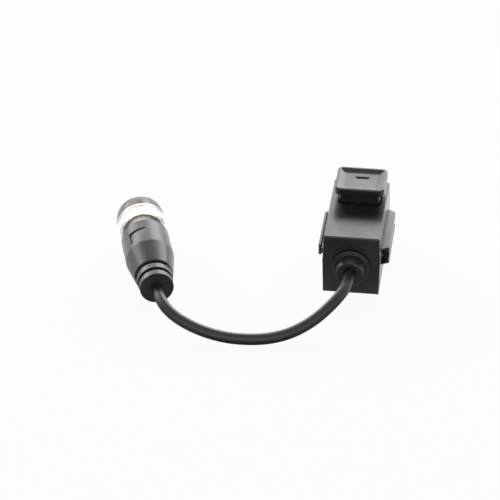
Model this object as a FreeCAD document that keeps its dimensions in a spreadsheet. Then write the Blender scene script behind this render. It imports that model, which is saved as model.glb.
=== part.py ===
"""CCTV video balun with a BNC pigtail: a twin-shell terminal housing, a short coax cord and a BNC plug.

Origin: centre of the housing's flat underside. +Y runs from the cord end to the wire-terminal end,
+X is to the right seen from the cord end, +Z is up. All sizes are in millimetres.
"""
import FreeCAD, Part
import math
import os
import re
import Sketcher

Vector = FreeCAD.Vector

# Driving dimensions: name, value, what it is
SIZES = [
    ("case_length", 33.2, "housing, cord end to terminal end"),
    ("case_height", 19.4, "housing, underside to top"),
    ("case_mid_width", 17.3, "housing width at the parting line"),
    ("case_end_width", 16.7, "housing width at top and underside, after draft"),
    ("parting_height", 11.0, "height of the joint between the shells"),
    ("cavity_width", 14.0, "clear width inside the shells"),
    ("end_wall", 1.5, "end wall thickness"),
    ("floor_thickness", 1.4, "lower shell floor"),
    ("roof_thickness", 1.5, "upper shell roof"),
    ("lip_height", 0.8, "locating lip above the parting line"),
    ("lip_thickness", 0.7, "locating lip thickness"),
    ("fit_gap", 0.1, "clearance between fixed pieces"),
    ("slide_gap", 0.3, "clearance round the button stem"),
    ("edge_round", 0.35, "round on the shells' upright corners"),
    ("embed", 1.0, "how far a moulded rail roots into its wall"),
    ("male_length", 19.6, "male rail, along the housing"),
    ("male_reach", 10.55, "male rail outer face, from the centre plane"),
    ("male_flange", 0.9, "male rail flange thickness"),
    ("male_web_drop", 2.05, "male rail web, lower face below the parting line"),
    ("male_drop", 2.55, "male rail flange, lower edge below the parting line"),
    ("male_rise", 1.0, "male rail flange, upper edge above the parting line"),
    ("male_lead", 0.4, "lead-in chamfer at the male rail's ends"),
    ("female_length", 20.6, "female rail outer face, along the housing"),
    ("female_slant", 1.2, "extra length at the female rail's root, each end"),
    ("female_reach", 10.9, "female rail outer face, from the centre plane"),
    ("female_lip", 0.8, "female rail lip thickness"),
    ("female_back", 0.1, "female rail back, proud of the widest wall"),
    ("female_drop", 3.55, "female rail, underside below the parting line"),
    ("female_rise", 2.0, "female rail, top above the parting line"),
    ("female_wall", 0.85, "female rail top and bottom wall thickness"),
    ("slot_drop", 2.25, "female rail slit, lower edge below the parting line"),
    ("slot_rise", 0.25, "female rail slit, upper edge above the parting line"),
    ("window_width", 9.9, "terminal window width"),
    ("window_drop", 3.1, "terminal window, lower edge below the wire mouths' centre"),
    ("window_rise", 2.7, "terminal window, upper edge above the wire mouths' centre"),
    ("window_shift", -0.25, "terminal window centre, across"),
    ("cap_width", 15.1, "button cap, across"),
    ("cap_shift", 0.4, "button cap centre, across"),
    ("cap_rear", 1.6, "button cap rear edge, along"),
    ("cap_front", 14.95, "button cap front edge, along"),
    ("cap_rise", 5.7, "button cap top, above the roof"),
    ("cap_thickness", 2.1, "button cap thickness"),
    ("cap_corner", 1.6, "button cap corner radius"),
    ("cap_edge", 0.4, "button cap edge chamfer"),
    ("dish_rim", 0.9, "flat rim round the finger dish"),
    ("dish_slope", 1.3, "dish wall, in plan"),
    ("dish_depth", 0.75, "finger dish depth"),
    ("stem_inset", 1.4, "button stem, inset from the cap's edge"),
    ("stem_corner", 0.9, "button stem corner radius"),
    ("stem_wall", 1.0, "button stem wall"),
    ("hook_height", 0.9, "button hook height"),
    ("hook_width", 5.0, "button hook, across"),
    ("hook_reach", 0.8, "button hook, proud of the stem"),
    ("prong_width", 2.0, "button prong, across"),
    ("prong_rear", 8.9, "button prong rear face, along"),
    ("prong_front", 10.2, "button prong front face, along"),
    ("prong_level", 5.0, "button prong lower end, above the board"),
    ("board_width", 13.6, "circuit board width"),
    ("board_rear", -12.5, "circuit board rear edge, along"),
    ("board_front", 14.8, "circuit board front edge, along"),
    ("board_height", 6.5, "circuit board underside height"),
    ("board_thickness", 1.0, "circuit board thickness"),
    ("ledge_width", 1.0, "board ledge, proud of the side wall"),
    ("ledge_length", 26.0, "board ledge length"),
    ("finger_width", 0.7, "board hold-down finger, across"),
    ("finger_length", 2.4, "board hold-down finger, along"),
    ("finger_rise", 5.0, "board hold-down finger, root above the parting line"),
    ("finger_rear", 9.0, "rear pair of fingers, behind the middle"),
    ("way_plus", 1.3, "grey terminal way, across"),
    ("way_minus", -2.95, "white terminal way, across"),
    ("block_split", -0.7, "joint between the terminal blocks, across"),
    ("block_flange", 0.4, "terminal block, proud of the window each side"),
    ("block_depth", 9.4, "terminal block, along"),
    ("block_height", 7.0, "terminal block height"),
    ("nose_recess", 0.15, "terminal nose, behind the end face"),
    ("mouth_width", 3.1, "wire mouth width"),
    ("mouth_height", 4.0, "wire mouth height"),
    ("mouth_level", 3.65, "wire mouth centre, above the board"),
    ("mouth_depth", 2.4, "wire mouth, depth of the funnel"),
    ("mouth_flare", 0.65, "wire mouth, flare of the funnel all round"),
    ("chamber_width", 3.3, "clamp chamber width"),
    ("chamber_floor", 0.7, "clamp chamber floor thickness"),
    ("chamber_rear", 6.5, "clamp chamber rear face, along"),
    ("chamber_front", 12.7, "clamp chamber front face, along"),
    ("contact_level", 5.1, "contact plate underside, above the board"),
    ("contact_thickness", 0.35, "contact strip thickness"),
    ("contact_rear", 10.7, "contact plate rear edge, along"),
    ("contact_front", 12.3, "contact plate front edge, along"),
    ("contact_tail", 0.45, "contact tail, below the board"),
    ("spring_width", 2.2, "clamp spring width"),
    ("spring_thickness", 0.3, "clamp spring thickness"),
    ("spring_bend", 1.05, "clamp spring bend radius"),
    ("spring_bend_place", 8.0, "clamp spring bend centre, along"),
    ("spring_rise", 31.0, "clamp spring free leg angle"),
    ("spring_leg", 3.6, "clamp spring free leg length"),
    ("core_outer", 4.0, "toroid core outer radius"),
    ("core_inner", 2.0, "toroid core inner radius"),
    ("core_height", 3.0, "toroid core height"),
    ("core_place", -3.4, "toroid core centre, along"),
    ("wire_thickness", 0.35, "winding wire thickness"),
    ("winding_turns", 14, "turns on the toroid core"),
    ("parts_rear", 1.9, "small parts' rear edge on the board, along"),
    ("suppressor_shift", -3.2, "surge suppressor centre, across"),
    ("suppressor_width", 3.6, "surge suppressor case, across"),
    ("suppressor_depth", 2.6, "surge suppressor case, along"),
    ("suppressor_height", 2.1, "surge suppressor height"),
    ("suppressor_lead", 0.5, "surge suppressor lead, each end"),
    ("chip_shift", 0.6, "first chip capacitor, left edge"),
    ("chip_pitch", 1.6, "chip capacitor pitch"),
    ("chip_width", 0.9, "chip capacitor, across"),
    ("chip_depth", 1.7, "chip capacitor, along"),
    ("chip_height", 0.75, "chip capacitor height"),
    ("gland_height", 9.5, "cord entry axis height"),
    ("gland_neck", 4.1, "gland neck radius in the wall"),
    ("gland_flange", 5.0, "gland inner flange radius"),
    ("gland_flange_depth", 0.9, "gland inner flange thickness"),
    ("gland_disc", 5.7, "gland base disc radius"),
    ("gland_disc_depth", 1.0, "gland base disc thickness"),
    ("gland_root", 4.75, "gland cone radius at the disc"),
    ("gland_tip", 3.95, "gland cone radius at the tip"),
    ("gland_reach", 4.65, "gland, proud of the end wall"),
    ("cord_radius", 1.7, "coax jacket radius"),
    ("dielectric_radius", 0.95, "coax dielectric radius"),
    ("conductor_radius", 0.3, "coax conductor radius"),
    ("jacket_end", 4.9, "jacket end inside the housing, from the wall's outer face"),
    ("dielectric_end", 7.0, "dielectric end inside the housing, from the wall's outer face"),
    ("conductor_drop", 8.15, "conductor, down to the board, from the wall's outer face"),
    ("braid_radius", 0.4, "twisted braid radius"),
    ("braid_shift", -1.3, "twisted braid, across"),
    ("braid_level", -0.5, "twisted braid, from the coax axis height"),
    ("braid_drop", 6.3, "twisted braid, down to the board, from the wall's outer face"),
    ("lead_tail", 0.3, "solder tail below the board"),
    ("lead_bend", 0.7, "corner cut at the leads' bend"),
    ("tail_across", -56.0, "plug tail face centre, across"),
    ("tail_along", -32.2, "plug tail face centre, along"),
    ("plug_height", 7.3, "plug axis height"),
    ("plug_turn", 16.1, "plug axis, turned left of +Y"),
    ("exit_run", 6.0, "straight cord at the gland and at the plug"),
    ("boot_length", 27.2, "plug boot length"),
    ("tail_radius", 5.05, "boot tail flange radius"),
    ("tail_depth", 2.3, "boot tail flange thickness"),
    ("groove_one", 4.1, "first groove radius"),
    ("groove_width", 1.05, "groove width"),
    ("rib_radius", 5.3, "boot rib radius"),
    ("rib_depth", 2.35, "boot rib thickness"),
    ("groove_two", 4.4, "second groove radius"),
    ("cone_radius", 5.8, "boot cone radius at its small end"),
    ("barrel_start", 15.6, "boot barrel start, from the tail face"),
    ("barrel_radius", 7.25, "boot barrel radius"),
    ("panel_rear", 17.2, "recessed panel rear edge, from the tail face"),
    ("panel_front", 22.9, "recessed panel front edge, from the tail face"),
    ("panel_depth", 0.3, "recessed panel depth"),
    ("panel_sweep", 44.0, "recessed panel, round the barrel"),
    ("panel_turn", -116.3, "recessed panel middle, round the barrel"),
    ("ferrule_start", 9.0, "crimp ferrule rear end, from the tail face"),
    ("ferrule_radius", 2.85, "crimp ferrule outer radius"),
    ("ferrule_wall", 0.5, "crimp ferrule wall"),
    ("braid_wall", 0.25, "folded braid thickness"),
    ("jacket_cut", 10.6, "jacket cut back to here, from the tail face"),
    ("stub_start", 12.0, "bushing stub rear end, from the tail face"),
    ("bushing_start", 18.0, "bushing shoulder, from the tail face"),
    ("bushing_radius", 5.0, "bushing radius, the neck that shows"),
    ("bushing_bore", 3.6, "bushing bore for the plug body"),
    ("bushing_bore_start", 23.4, "bushing bore start, from the tail face"),
    ("nut_start", 31.0, "coupling nut rear face, from the tail face"),
    ("nut_length", 10.0, "coupling nut length"),
    ("nut_radius", 7.3, "coupling nut radius"),
    ("nut_shoulder", 1.2, "sloped shoulder at the nut's rear, on the radius"),
    ("nut_shoulder_depth", 0.6, "sloped shoulder at the nut's rear, along the axis"),
    ("nut_band", 2.2, "tapered band at the nut's front"),
    ("nut_taper", 0.35, "taper of the front band, on the radius"),
    ("nut_turn", 80.0, "coupling nut, turned about its own axis"),
    ("nut_lip", 1.0, "coupling nut rear lip thickness"),
    ("nut_chamber", 5.75, "coupling nut chamber radius"),
    ("nut_chamber_end", 36.9, "coupling nut chamber end, from the tail face"),
    ("nut_bore", 4.95, "coupling nut front bore radius"),
    ("nut_groove_start", 35.5, "outer groove start, from the tail face"),
    ("nut_groove_width", 0.8, "outer groove width"),
    ("nut_groove_depth", 0.4, "outer groove depth"),
    ("run_gap", 0.05, "running gap between plug pieces"),
    ("journal_radius", 4.0, "plug body journal radius"),
    ("journal_gap", 0.15, "clearance on the journal"),
    ("body_flange", 4.8, "plug body flange radius"),
    ("body_flange_start", 33.5, "plug body flange rear face, from the tail face"),
    ("body_flange_depth", 1.2, "plug body flange thickness"),
    ("body_bore", 3.0, "plug body bore radius"),
    ("sleeve_seat", 3.4, "contact sleeve seat radius in the body"),
    ("sleeve_seat_depth", 2.2, "contact sleeve seat depth"),
    ("sleeve_radius", 4.05, "contact sleeve outer radius"),
    ("sleeve_bore", 3.45, "contact sleeve inner radius"),
    ("sleeve_end", 40.4, "contact sleeve front end, from the tail face"),
    ("sleeve_slot_start", 36.6, "contact sleeve slot bottom, from the tail face"),
    ("sleeve_slot_width", 0.5, "contact sleeve slot width"),
    ("sleeve_slots", 4, "slots round the contact sleeve"),
    ("sleeve_turn", 45.0, "contact sleeve, its slots turned about the axis"),
    ("insulator_start", 26.0, "insulator rear end, from the tail face"),
    ("insulator_step", 35.9, "insulator shoulder, from the tail face"),
    ("insulator_nose", 2.6, "insulator nose radius"),
    ("insulator_end", 36.6, "insulator front end, from the tail face"),
    ("pin_cup_radius", 1.2, "centre pin solder cup radius"),
    ("pin_shank_radius", 0.95, "centre pin radius in the insulator"),
    ("pin_cup_start", 24.2, "centre pin solder cup, from the tail face"),
    ("pin_cup_depth", 2.7, "centre pin solder cup depth"),
    ("pin_radius", 0.675, "centre pin contact radius"),
    ("pin_straight_end", 39.2, "centre pin straight part end, from the tail face"),
    ("pin_end", 39.9, "centre pin tip, from the tail face"),
    ("pin_tip_radius", 0.25, "centre pin tip radius"),
    ("gasket_depth", 1.0, "sealing gasket thickness"),
    ("gasket_seat", 3.7, "sealing gasket inner radius, in its groove"),
    ("washer_radius", 5.5, "thrust washer outer radius"),
    ("washer_thickness", 0.3, "thrust washer thickness"),
    ("wave_radius", 4.75, "spring washer outer radius"),
    ("wave_thickness", 0.22, "spring washer thickness"),
    ("lug_width", 2.3, "bayonet slot width"),
    ("lug_reach", 5.95, "bayonet slot floor radius"),
    ("lug_level", 39.3, "bayonet slot, end of the straight entry, from the tail face"),
    ("lug_rise", 1.6, "bayonet ramp, along the axis"),
    ("lug_hole", 1.25, "bayonet detent hole radius"),
]
SIZE = {name: value for name, value, note in SIZES}

# The cord's route between the straight runs at its two ends, chosen by hand: across, along, height
CORD_ROUTE = [
    (-2.8, -34.2, 8.3),
    (-8.3, -39.8, 4.8),
    (-14.5, -43.8, 2.5),
    (-20.9, -46.6, 1.8),
    (-27.9, -47.9, 1.8),
    (-35.0, -47.7, 2.1),
    (-42.8, -46.5, 3.6),
    (-50.1, -43.4, 5.8),
]

doc = FreeCAD.newDocument("video_balun")
sheet = doc.addObject("Spreadsheet::Sheet", "sizes")
for row, (name, value, note) in enumerate(SIZES, start=1):
    sheet.set("A%d" % row, name)
    sheet.set("B%d" % row, str(value))
    sheet.set("C%d" % row, note)
    sheet.setAlias("B%d" % row, name)
doc.recompute()

WORD = re.compile(r"[a-z][a-z_]*")
PIECES = []


def bind(thing, prop, text):
    """Tie a property to an expression in the sheet's names."""

    def with_sheet(match):
        word = match.group(0)
        return "sizes." + word if word in SIZE else word

    thing.setExpression(prop, WORD.sub(with_sheet, text))


def piece(thing, label):
    """Name an object as a finished piece."""
    thing.Label = label
    PIECES.append((label, thing))
    return thing


def new_body(label):
    body = doc.addObject("PartDesign::Body", label)
    return piece(body, label)


def new_sketch(body, plane, offset=None, turn=None, about=Vector(0, 1, 0)):
    """Sketch on one of the body's own origin planes, moved along its normal or turned in its own axes."""
    sketch = body.newObject("Sketcher::SketchObject", "profile")
    support = next(o for o in body.Origin.OriginFeatures if o.Role == plane)
    sketch.AttachmentSupport = (support, [""])
    sketch.MapMode = "FlatFace"
    if turn:
        sketch.AttachmentOffset = FreeCAD.Placement(Vector(), FreeCAD.Rotation(about, SIZE[turn]))
        bind(sketch, "AttachmentOffset.Rotation.Angle", turn)
    if offset:
        bind(sketch, "AttachmentOffset.Base.z", offset)
    return sketch


def fix_point(sketch, rules, geometry, point, across, up):
    """Hold a point at coordinates given as expressions."""
    rules.append((Sketcher.Constraint("DistanceX", -1, 1, geometry, point, 0.1), across))
    rules.append((Sketcher.Constraint("DistanceY", -1, 1, geometry, point, 0.1), up))


def apply_rules(sketch, rules):
    """Add constraints, then tie the sizes among them to their expressions."""
    first = sketch.ConstraintCount
    sketch.addConstraint([rule for rule, text in rules])
    for index, (rule, text) in enumerate(rules):
        if text is not None:
            bind(sketch, "Constraints[%d]" % (first + index), text)


def outline(sketch, points):
    """Closed outline of straight lines through points given as pairs of expressions."""
    first = sketch.GeometryCount
    count = len(points)
    step = 2 * math.pi / count
    ring = [Vector(math.cos(step * i), math.sin(step * i), 0) for i in range(count)]
    sketch.addGeometry([Part.LineSegment(ring[i], ring[(i + 1) % count]) for i in range(count)], False)
    rules = []
    for i in range(count):
        rules.append((Sketcher.Constraint("Coincident", first + i, 2, first + (i + 1) % count, 1), None))
    for i, (across, up) in enumerate(points):
        fix_point(sketch, rules, first + i, 1, across, up)
    apply_rules(sketch, rules)
    return sketch


def rectangle(sketch, left, right, low, high):
    return outline(sketch, [(left, low), (right, low), (right, high), (left, high)])


def circle(sketch, across, up, radius):
    first = sketch.GeometryCount
    sketch.addGeometry(Part.Circle(Vector(0, 0, 0), Vector(0, 0, 1), 1), False)
    rules = [(Sketcher.Constraint("Radius", first, 1.0), radius)]
    fix_point(sketch, rules, first, 3, across, up)
    apply_rules(sketch, rules)
    return sketch


def obround(sketch, across, up, width, height):
    """Upright slot outline with round ends."""
    normal = Vector(0, 0, 1)
    top = Part.ArcOfCircle(Part.Circle(Vector(0, 1, 0), normal, 1), 0, math.pi)
    bottom = Part.ArcOfCircle(Part.Circle(Vector(0, -1, 0), normal, 1), math.pi, 2 * math.pi)
    left = Part.LineSegment(Vector(-1, 1, 0), Vector(-1, -1, 0))
    right = Part.LineSegment(Vector(1, -1, 0), Vector(1, 1, 0))
    sketch.addGeometry([top, left, bottom, right], False)
    rules = [(Sketcher.Constraint("Tangent", i, 2, (i + 1) % 4, 1), None) for i in range(4)]
    rules.append((Sketcher.Constraint("Equal", 0, 2), None))
    rules.append((Sketcher.Constraint("Radius", 0, 1.0), "%s / 2" % width))
    half = "(%s - %s) / 2" % (height, width)
    fix_point(sketch, rules, 0, 3, across, "%s + %s" % (up, half))
    fix_point(sketch, rules, 2, 3, across, "%s - %s" % (up, half))
    apply_rules(sketch, rules)
    return sketch


def pad(body, sketch, length, side="One side"):
    feature = body.newObject("PartDesign::Pad", "pad")
    feature.Profile = sketch
    feature.SideType = side
    bind(feature, "Length", length)
    return feature


def pocket(body, sketch, length=None, side="One side", along_normal=False):
    """Cut against the sketch's normal, or along it. With no length it goes right through."""
    feature = body.newObject("PartDesign::Pocket", "pocket")
    feature.Profile = sketch
    feature.SideType = side
    feature.Reversed = along_normal
    if length is None:
        feature.Type = "ThroughAll"
    else:
        bind(feature, "Length", length)
    return feature


def turned(body, points, plane="XY_Plane", turn=None):
    """Solid of revolution about the sketch's upright axis."""
    sketch = outline(new_sketch(body, plane, turn=turn), points)
    feature = body.newObject("PartDesign::Revolution", "turned")
    feature.Profile = sketch
    feature.ReferenceAxis = (sketch, ["V_Axis"])
    feature.Angle = 360
    return feature


def loft_cut(body, first, second):
    feature = body.newObject("PartDesign::SubtractiveLoft", "loft_cut")
    feature.Profile = first
    feature.Sections = [second]
    return feature


def around(body, feature, axis, count):
    """Repeat a cut or a pad evenly round one of the body's axes."""
    doc.recompute()
    pattern = body.newObject("PartDesign::PolarPattern", "pattern")
    pattern.Originals = [feature]
    pattern.Axis = (next(o for o in body.Origin.OriginFeatures if o.Role == axis), [""])
    pattern.Angle = 360
    bind(pattern, "Occurrences", count)
    body.Tip = pattern
    return pattern


def blend_edges(body, kind, size, wanted):
    """Round or chamfer the edges whose middle and direction pass the test."""
    doc.recompute()
    base = body.Tip
    names = []
    for number, edge in enumerate(base.Shape.Edges, start=1):
        if edge.Degenerated:
            continue
        middle = edge.valueAt((edge.FirstParameter + edge.LastParameter) / 2)
        run = edge.tangentAt((edge.FirstParameter + edge.LastParameter) / 2)
        if wanted(middle, run):
            names.append("Edge%d" % number)
    if not names:
        raise RuntimeError("no edge to blend on " + body.Label)
    feature = body.newObject("PartDesign::" + kind, kind.lower())
    feature.Base = (base, names)
    bind(feature, "Radius" if kind == "Fillet" else "Size", size)
    return feature


def near(value, target):
    return abs(value - target) < 0.01


def upright(run):
    return abs(run.z) > 0.95


def place(thing, across=None, along=None, height=None, turn=None):
    """Put a piece in its place, tied to the sheet."""
    if turn:
        thing.Placement = FreeCAD.Placement(Vector(), FreeCAD.Rotation(Vector(0, 0, 1), SIZE[turn]))
        bind(thing, "Placement.Rotation.Angle", turn)
    for letter, text in (("x", across), ("y", along), ("z", height)):
        if text:
            bind(thing, "Placement.Base." + letter, text)


def on_plug(body):
    """The plug's pieces are drawn along their own +Y from the plug's tail face."""
    place(body, "tail_across", "tail_along", "plug_height", "plug_turn")


def box(name, left, right, rear, front, low, high):
    thing = doc.addObject("Part::Box", name)
    bind(thing, "Length", "(%s) - (%s)" % (right, left))
    bind(thing, "Width", "(%s) - (%s)" % (front, rear))
    bind(thing, "Height", "(%s) - (%s)" % (high, low))
    place(thing, left, rear, low)
    return thing


def rounded_path(points):
    """Straight runs joined by tangent arcs, each as large as its two runs allow."""
    edges = []
    start = points[0]
    used = []
    for i in range(1, len(points) - 1):
        before = points[i] - points[i - 1]
        after = points[i + 1] - points[i]
        turn = before.getAngle(after)
        radius = 0.45 * min(before.Length, after.Length) / math.tan(turn / 2)
        setback = radius * math.tan(turn / 2)
        into = Vector(before).normalize()
        out = Vector(after).normalize()
        enter = points[i] - into * setback
        leave = points[i] + out * setback
        bisector = (out - into).normalize()
        centre = points[i] + bisector * (radius / math.cos(turn / 2))
        middle = centre - bisector * radius
        edges.append(Part.LineSegment(start, enter).toShape())
        edges.append(Part.Arc(enter, middle, leave).toShape())
        start = leave
        used.append(radius)
    edges.append(Part.LineSegment(start, points[-1]).toShape())
    return Part.Wire(edges), used


def round_rod(path, radius):
    """Round section swept along a path, with mitred corners where it has any."""
    start = path.Edges[0]
    section = Part.Circle(start.valueAt(start.FirstParameter), start.tangentAt(start.FirstParameter), radius)
    return path.makePipeShell([Part.Wire(section.toShape())], True, False, 1)


def shaped(label, shape):
    """A piece whose form is swept or ruled."""
    thing = doc.addObject("Part::Feature", label)
    thing.Shape = shape
    return piece(thing, label)


HALF_LENGTH = "case_length / 2"
INNER_LENGTH = "case_length - 2 * end_wall"
HALF_CAVITY = "cavity_width / 2"
BOARD_TOP = "board_height + board_thickness"
MOUTH = BOARD_TOP + " + mouth_level"
CHAMBER = BOARD_TOP + " + chamber_floor"
PLATE = BOARD_TOP + " + contact_level"
CAP_TOP = "case_height + cap_rise"
CAP_LEFT = "cap_shift - cap_width / 2"
CAP_RIGHT = "cap_shift + cap_width / 2"
STEM_BOTTOM = "case_height - roof_thickness - run_gap - hook_height"
WALL_ROOT = "cavity_width / 2 + embed"


def shell_holes(body):
    """Terminal window in the front wall and the gland's round hole in the rear wall."""
    window = new_sketch(body, "XZ_Plane")
    rectangle(window, "window_shift - window_width / 2", "window_shift + window_width / 2",
              MOUTH + " - window_drop", MOUTH + " + window_rise")
    pocket(body, window)
    entry = circle(new_sketch(body, "XZ_Plane"), "0", "gland_height", "gland_neck + fit_gap")
    pocket(body, entry, along_normal=True)


def female_rail(body, low, high, cut_low, cut_high, lip_low, lip_high):
    """One half of the C-shaped rail on the +X side: a slanted block, hollowed and slit."""
    root = "case_mid_width / 2"
    plan = new_sketch(body, "XY_Plane", low)
    outline(plan, [
        (WALL_ROOT, "-female_length / 2 - female_slant"),
        (root, "-female_length / 2 - female_slant"),
        ("female_reach", "-female_length / 2"),
        ("female_reach", "female_length / 2"),
        (root, "female_length / 2 + female_slant"),
        (WALL_ROOT, "female_length / 2 + female_slant"),
    ])
    pad(body, plan, "(%s) - (%s)" % (high, low))
    hollow = new_sketch(body, "XZ_Plane")
    rectangle(hollow, root + " + female_back", "female_reach - female_lip", cut_low, cut_high)
    pocket(body, hollow, "case_length", side="Symmetric")
    slit = new_sketch(body, "XZ_Plane")
    rectangle(slit, "female_reach - female_lip - fit_gap", "female_reach + embed", lip_low, lip_high)
    pocket(body, slit, "case_length", side="Symmetric")


# Lower shell: drafted tub with the board ledges, the male rail and the lower half of the female rail
def make_lower_base():
    body = new_body("lower_base")
    tub = new_sketch(body, "XZ_Plane")
    outline(tub, [
        ("-case_end_width / 2", "0"),
        ("case_end_width / 2", "0"),
        ("case_mid_width / 2", "parting_height"),
        ("-case_mid_width / 2", "parting_height"),
    ])
    pad(body, tub, "case_length", side="Symmetric")
    half_length = SIZE["case_length"] / 2

    def outer_corner(middle, run):
        return near(abs(middle.y), half_length) and abs(run.z) > 0.9

    blend_edges(body, "Fillet", "edge_round", outer_corner)
    hollow = new_sketch(body, "XZ_Plane")
    rectangle(hollow, "-" + HALF_CAVITY, HALF_CAVITY, "floor_thickness", "parting_height + embed")
    pocket(body, hollow, INNER_LENGTH, side="Symmetric")
    ledges = new_sketch(body, "XZ_Plane")
    for inner, outer in ((HALF_CAVITY + " - ledge_width", HALF_CAVITY + " + fit_gap"),
                         ("-" + HALF_CAVITY + " + ledge_width", "-" + HALF_CAVITY + " - fit_gap")):
        outline(ledges, [(inner, "floor_thickness - fit_gap"), (outer, "floor_thickness - fit_gap"),
                         (outer, "board_height"), (inner, "board_height")])
    pad(body, ledges, "ledge_length", side="Symmetric")
    lip = new_sketch(body, "XY_Plane", "parting_height")
    for grow in ("0", "lip_thickness"):
        rectangle(lip, "-%s - %s" % (HALF_CAVITY, grow), "%s + %s" % (HALF_CAVITY, grow),
                  "-(%s) / 2 - %s" % (INNER_LENGTH, grow), "(%s) / 2 + %s" % (INNER_LENGTH, grow))
    pad(body, lip, "lip_height")
    shell_holes(body)
    tee = new_sketch(body, "XZ_Plane")
    neck = "-male_reach + male_flange"
    outline(tee, [
        ("-(%s)" % WALL_ROOT, "parting_height - male_web_drop"),
        (neck, "parting_height - male_web_drop"),
        (neck, "parting_height - male_drop"),
        ("-male_reach", "parting_height - male_drop"),
        ("-male_reach", "parting_height + male_rise"),
        (neck, "parting_height + male_rise"),
        (neck, "parting_height"),
        ("-(%s)" % WALL_ROOT, "parting_height"),
    ])
    pad(body, tee, "male_length", side="Symmetric")
    reach = SIZE["male_reach"]
    rail_end = SIZE["male_length"] / 2

    def rail_corner(middle, run):
        return near(middle.x, -reach) and near(abs(middle.y), rail_end) and upright(run)

    blend_edges(body, "Chamfer", "male_lead", rail_corner)
    underside = "parting_height - female_drop"
    female_rail(body, underside, "parting_height", underside + " + female_wall", "parting_height + embed",
                "parting_height - slot_drop", "parting_height + embed")
    return body


# Upper shell: drafted cover with the button well, the board fingers and the upper half of the female rail
def make_upper_cover():
    body = new_body("upper_cover")
    cover = new_sketch(body, "XZ_Plane")
    outline(cover, [
        ("-case_mid_width / 2", "parting_height"),
        ("case_mid_width / 2", "parting_height"),
        ("case_end_width / 2", "case_height"),
        ("-case_end_width / 2", "case_height"),
    ])
    pad(body, cover, "case_length", side="Symmetric")
    half_length = SIZE["case_length"] / 2

    def outer_corner(middle, run):
        return near(abs(middle.y), half_length) and abs(run.z) > 0.9

    blend_edges(body, "Fillet", "edge_round", outer_corner)
    hollow = new_sketch(body, "XZ_Plane")
    rectangle(hollow, "-" + HALF_CAVITY, HALF_CAVITY,
              "parting_height - embed", "case_height - roof_thickness")
    pocket(body, hollow, INNER_LENGTH, side="Symmetric")
    rebate = new_sketch(body, "XY_Plane", "parting_height")
    grow = "lip_thickness + fit_gap"
    rectangle(rebate, "-%s - (%s)" % (HALF_CAVITY, grow), "%s + %s" % (HALF_CAVITY, grow),
              "-(%s) / 2 - (%s)" % (INNER_LENGTH, grow), "(%s) / 2 + %s" % (INNER_LENGTH, grow))
    pocket(body, rebate, "lip_height + fit_gap", along_normal=True)
    well = new_sketch(body, "XY_Plane", "case_height")
    rectangle(well, CAP_LEFT + " + stem_inset - slide_gap", CAP_RIGHT + " - stem_inset + slide_gap",
              "cap_rear + stem_inset - slide_gap", "cap_front - stem_inset + slide_gap")
    pocket(body, well, "roof_thickness + embed")
    well_edge = SIZE["cap_width"] / 2 - SIZE["stem_inset"] + SIZE["slide_gap"]
    roof_underside = SIZE["case_height"] - SIZE["roof_thickness"]

    def well_corner(middle, run):
        at_corner = near(abs(middle.x - SIZE["cap_shift"]), well_edge)
        return at_corner and upright(run) and middle.z > roof_underside

    blend_edges(body, "Fillet", "stem_corner + slide_gap", well_corner)
    shell_holes(body)
    for offset in ("0", "finger_rear"):
        fingers = new_sketch(body, "XZ_Plane", offset)
        for sign in ("", "-"):
            tip = "%s(%s - fit_gap)" % (sign, HALF_CAVITY)
            inner = "%s(%s - fit_gap - finger_width)" % (sign, HALF_CAVITY)
            root = "%s(%s + fit_gap)" % (sign, HALF_CAVITY)
            shoulder = "parting_height + lip_height + 2 * fit_gap"
            outline(fingers, [
                (inner, BOARD_TOP + " + fit_gap"),
                (tip, BOARD_TOP + " + fit_gap"),
                (tip, shoulder),
                (root, shoulder),
                (root, "parting_height + finger_rise"),
                (inner, "parting_height + finger_rise"),
            ])
        pad(body, fingers, "finger_length", side="Symmetric")
    top = "parting_height + female_rise"
    female_rail(body, "parting_height", top, "parting_height - embed", top + " - female_wall",
                "parting_height - embed", "parting_height + slot_rise")
    return body


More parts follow.
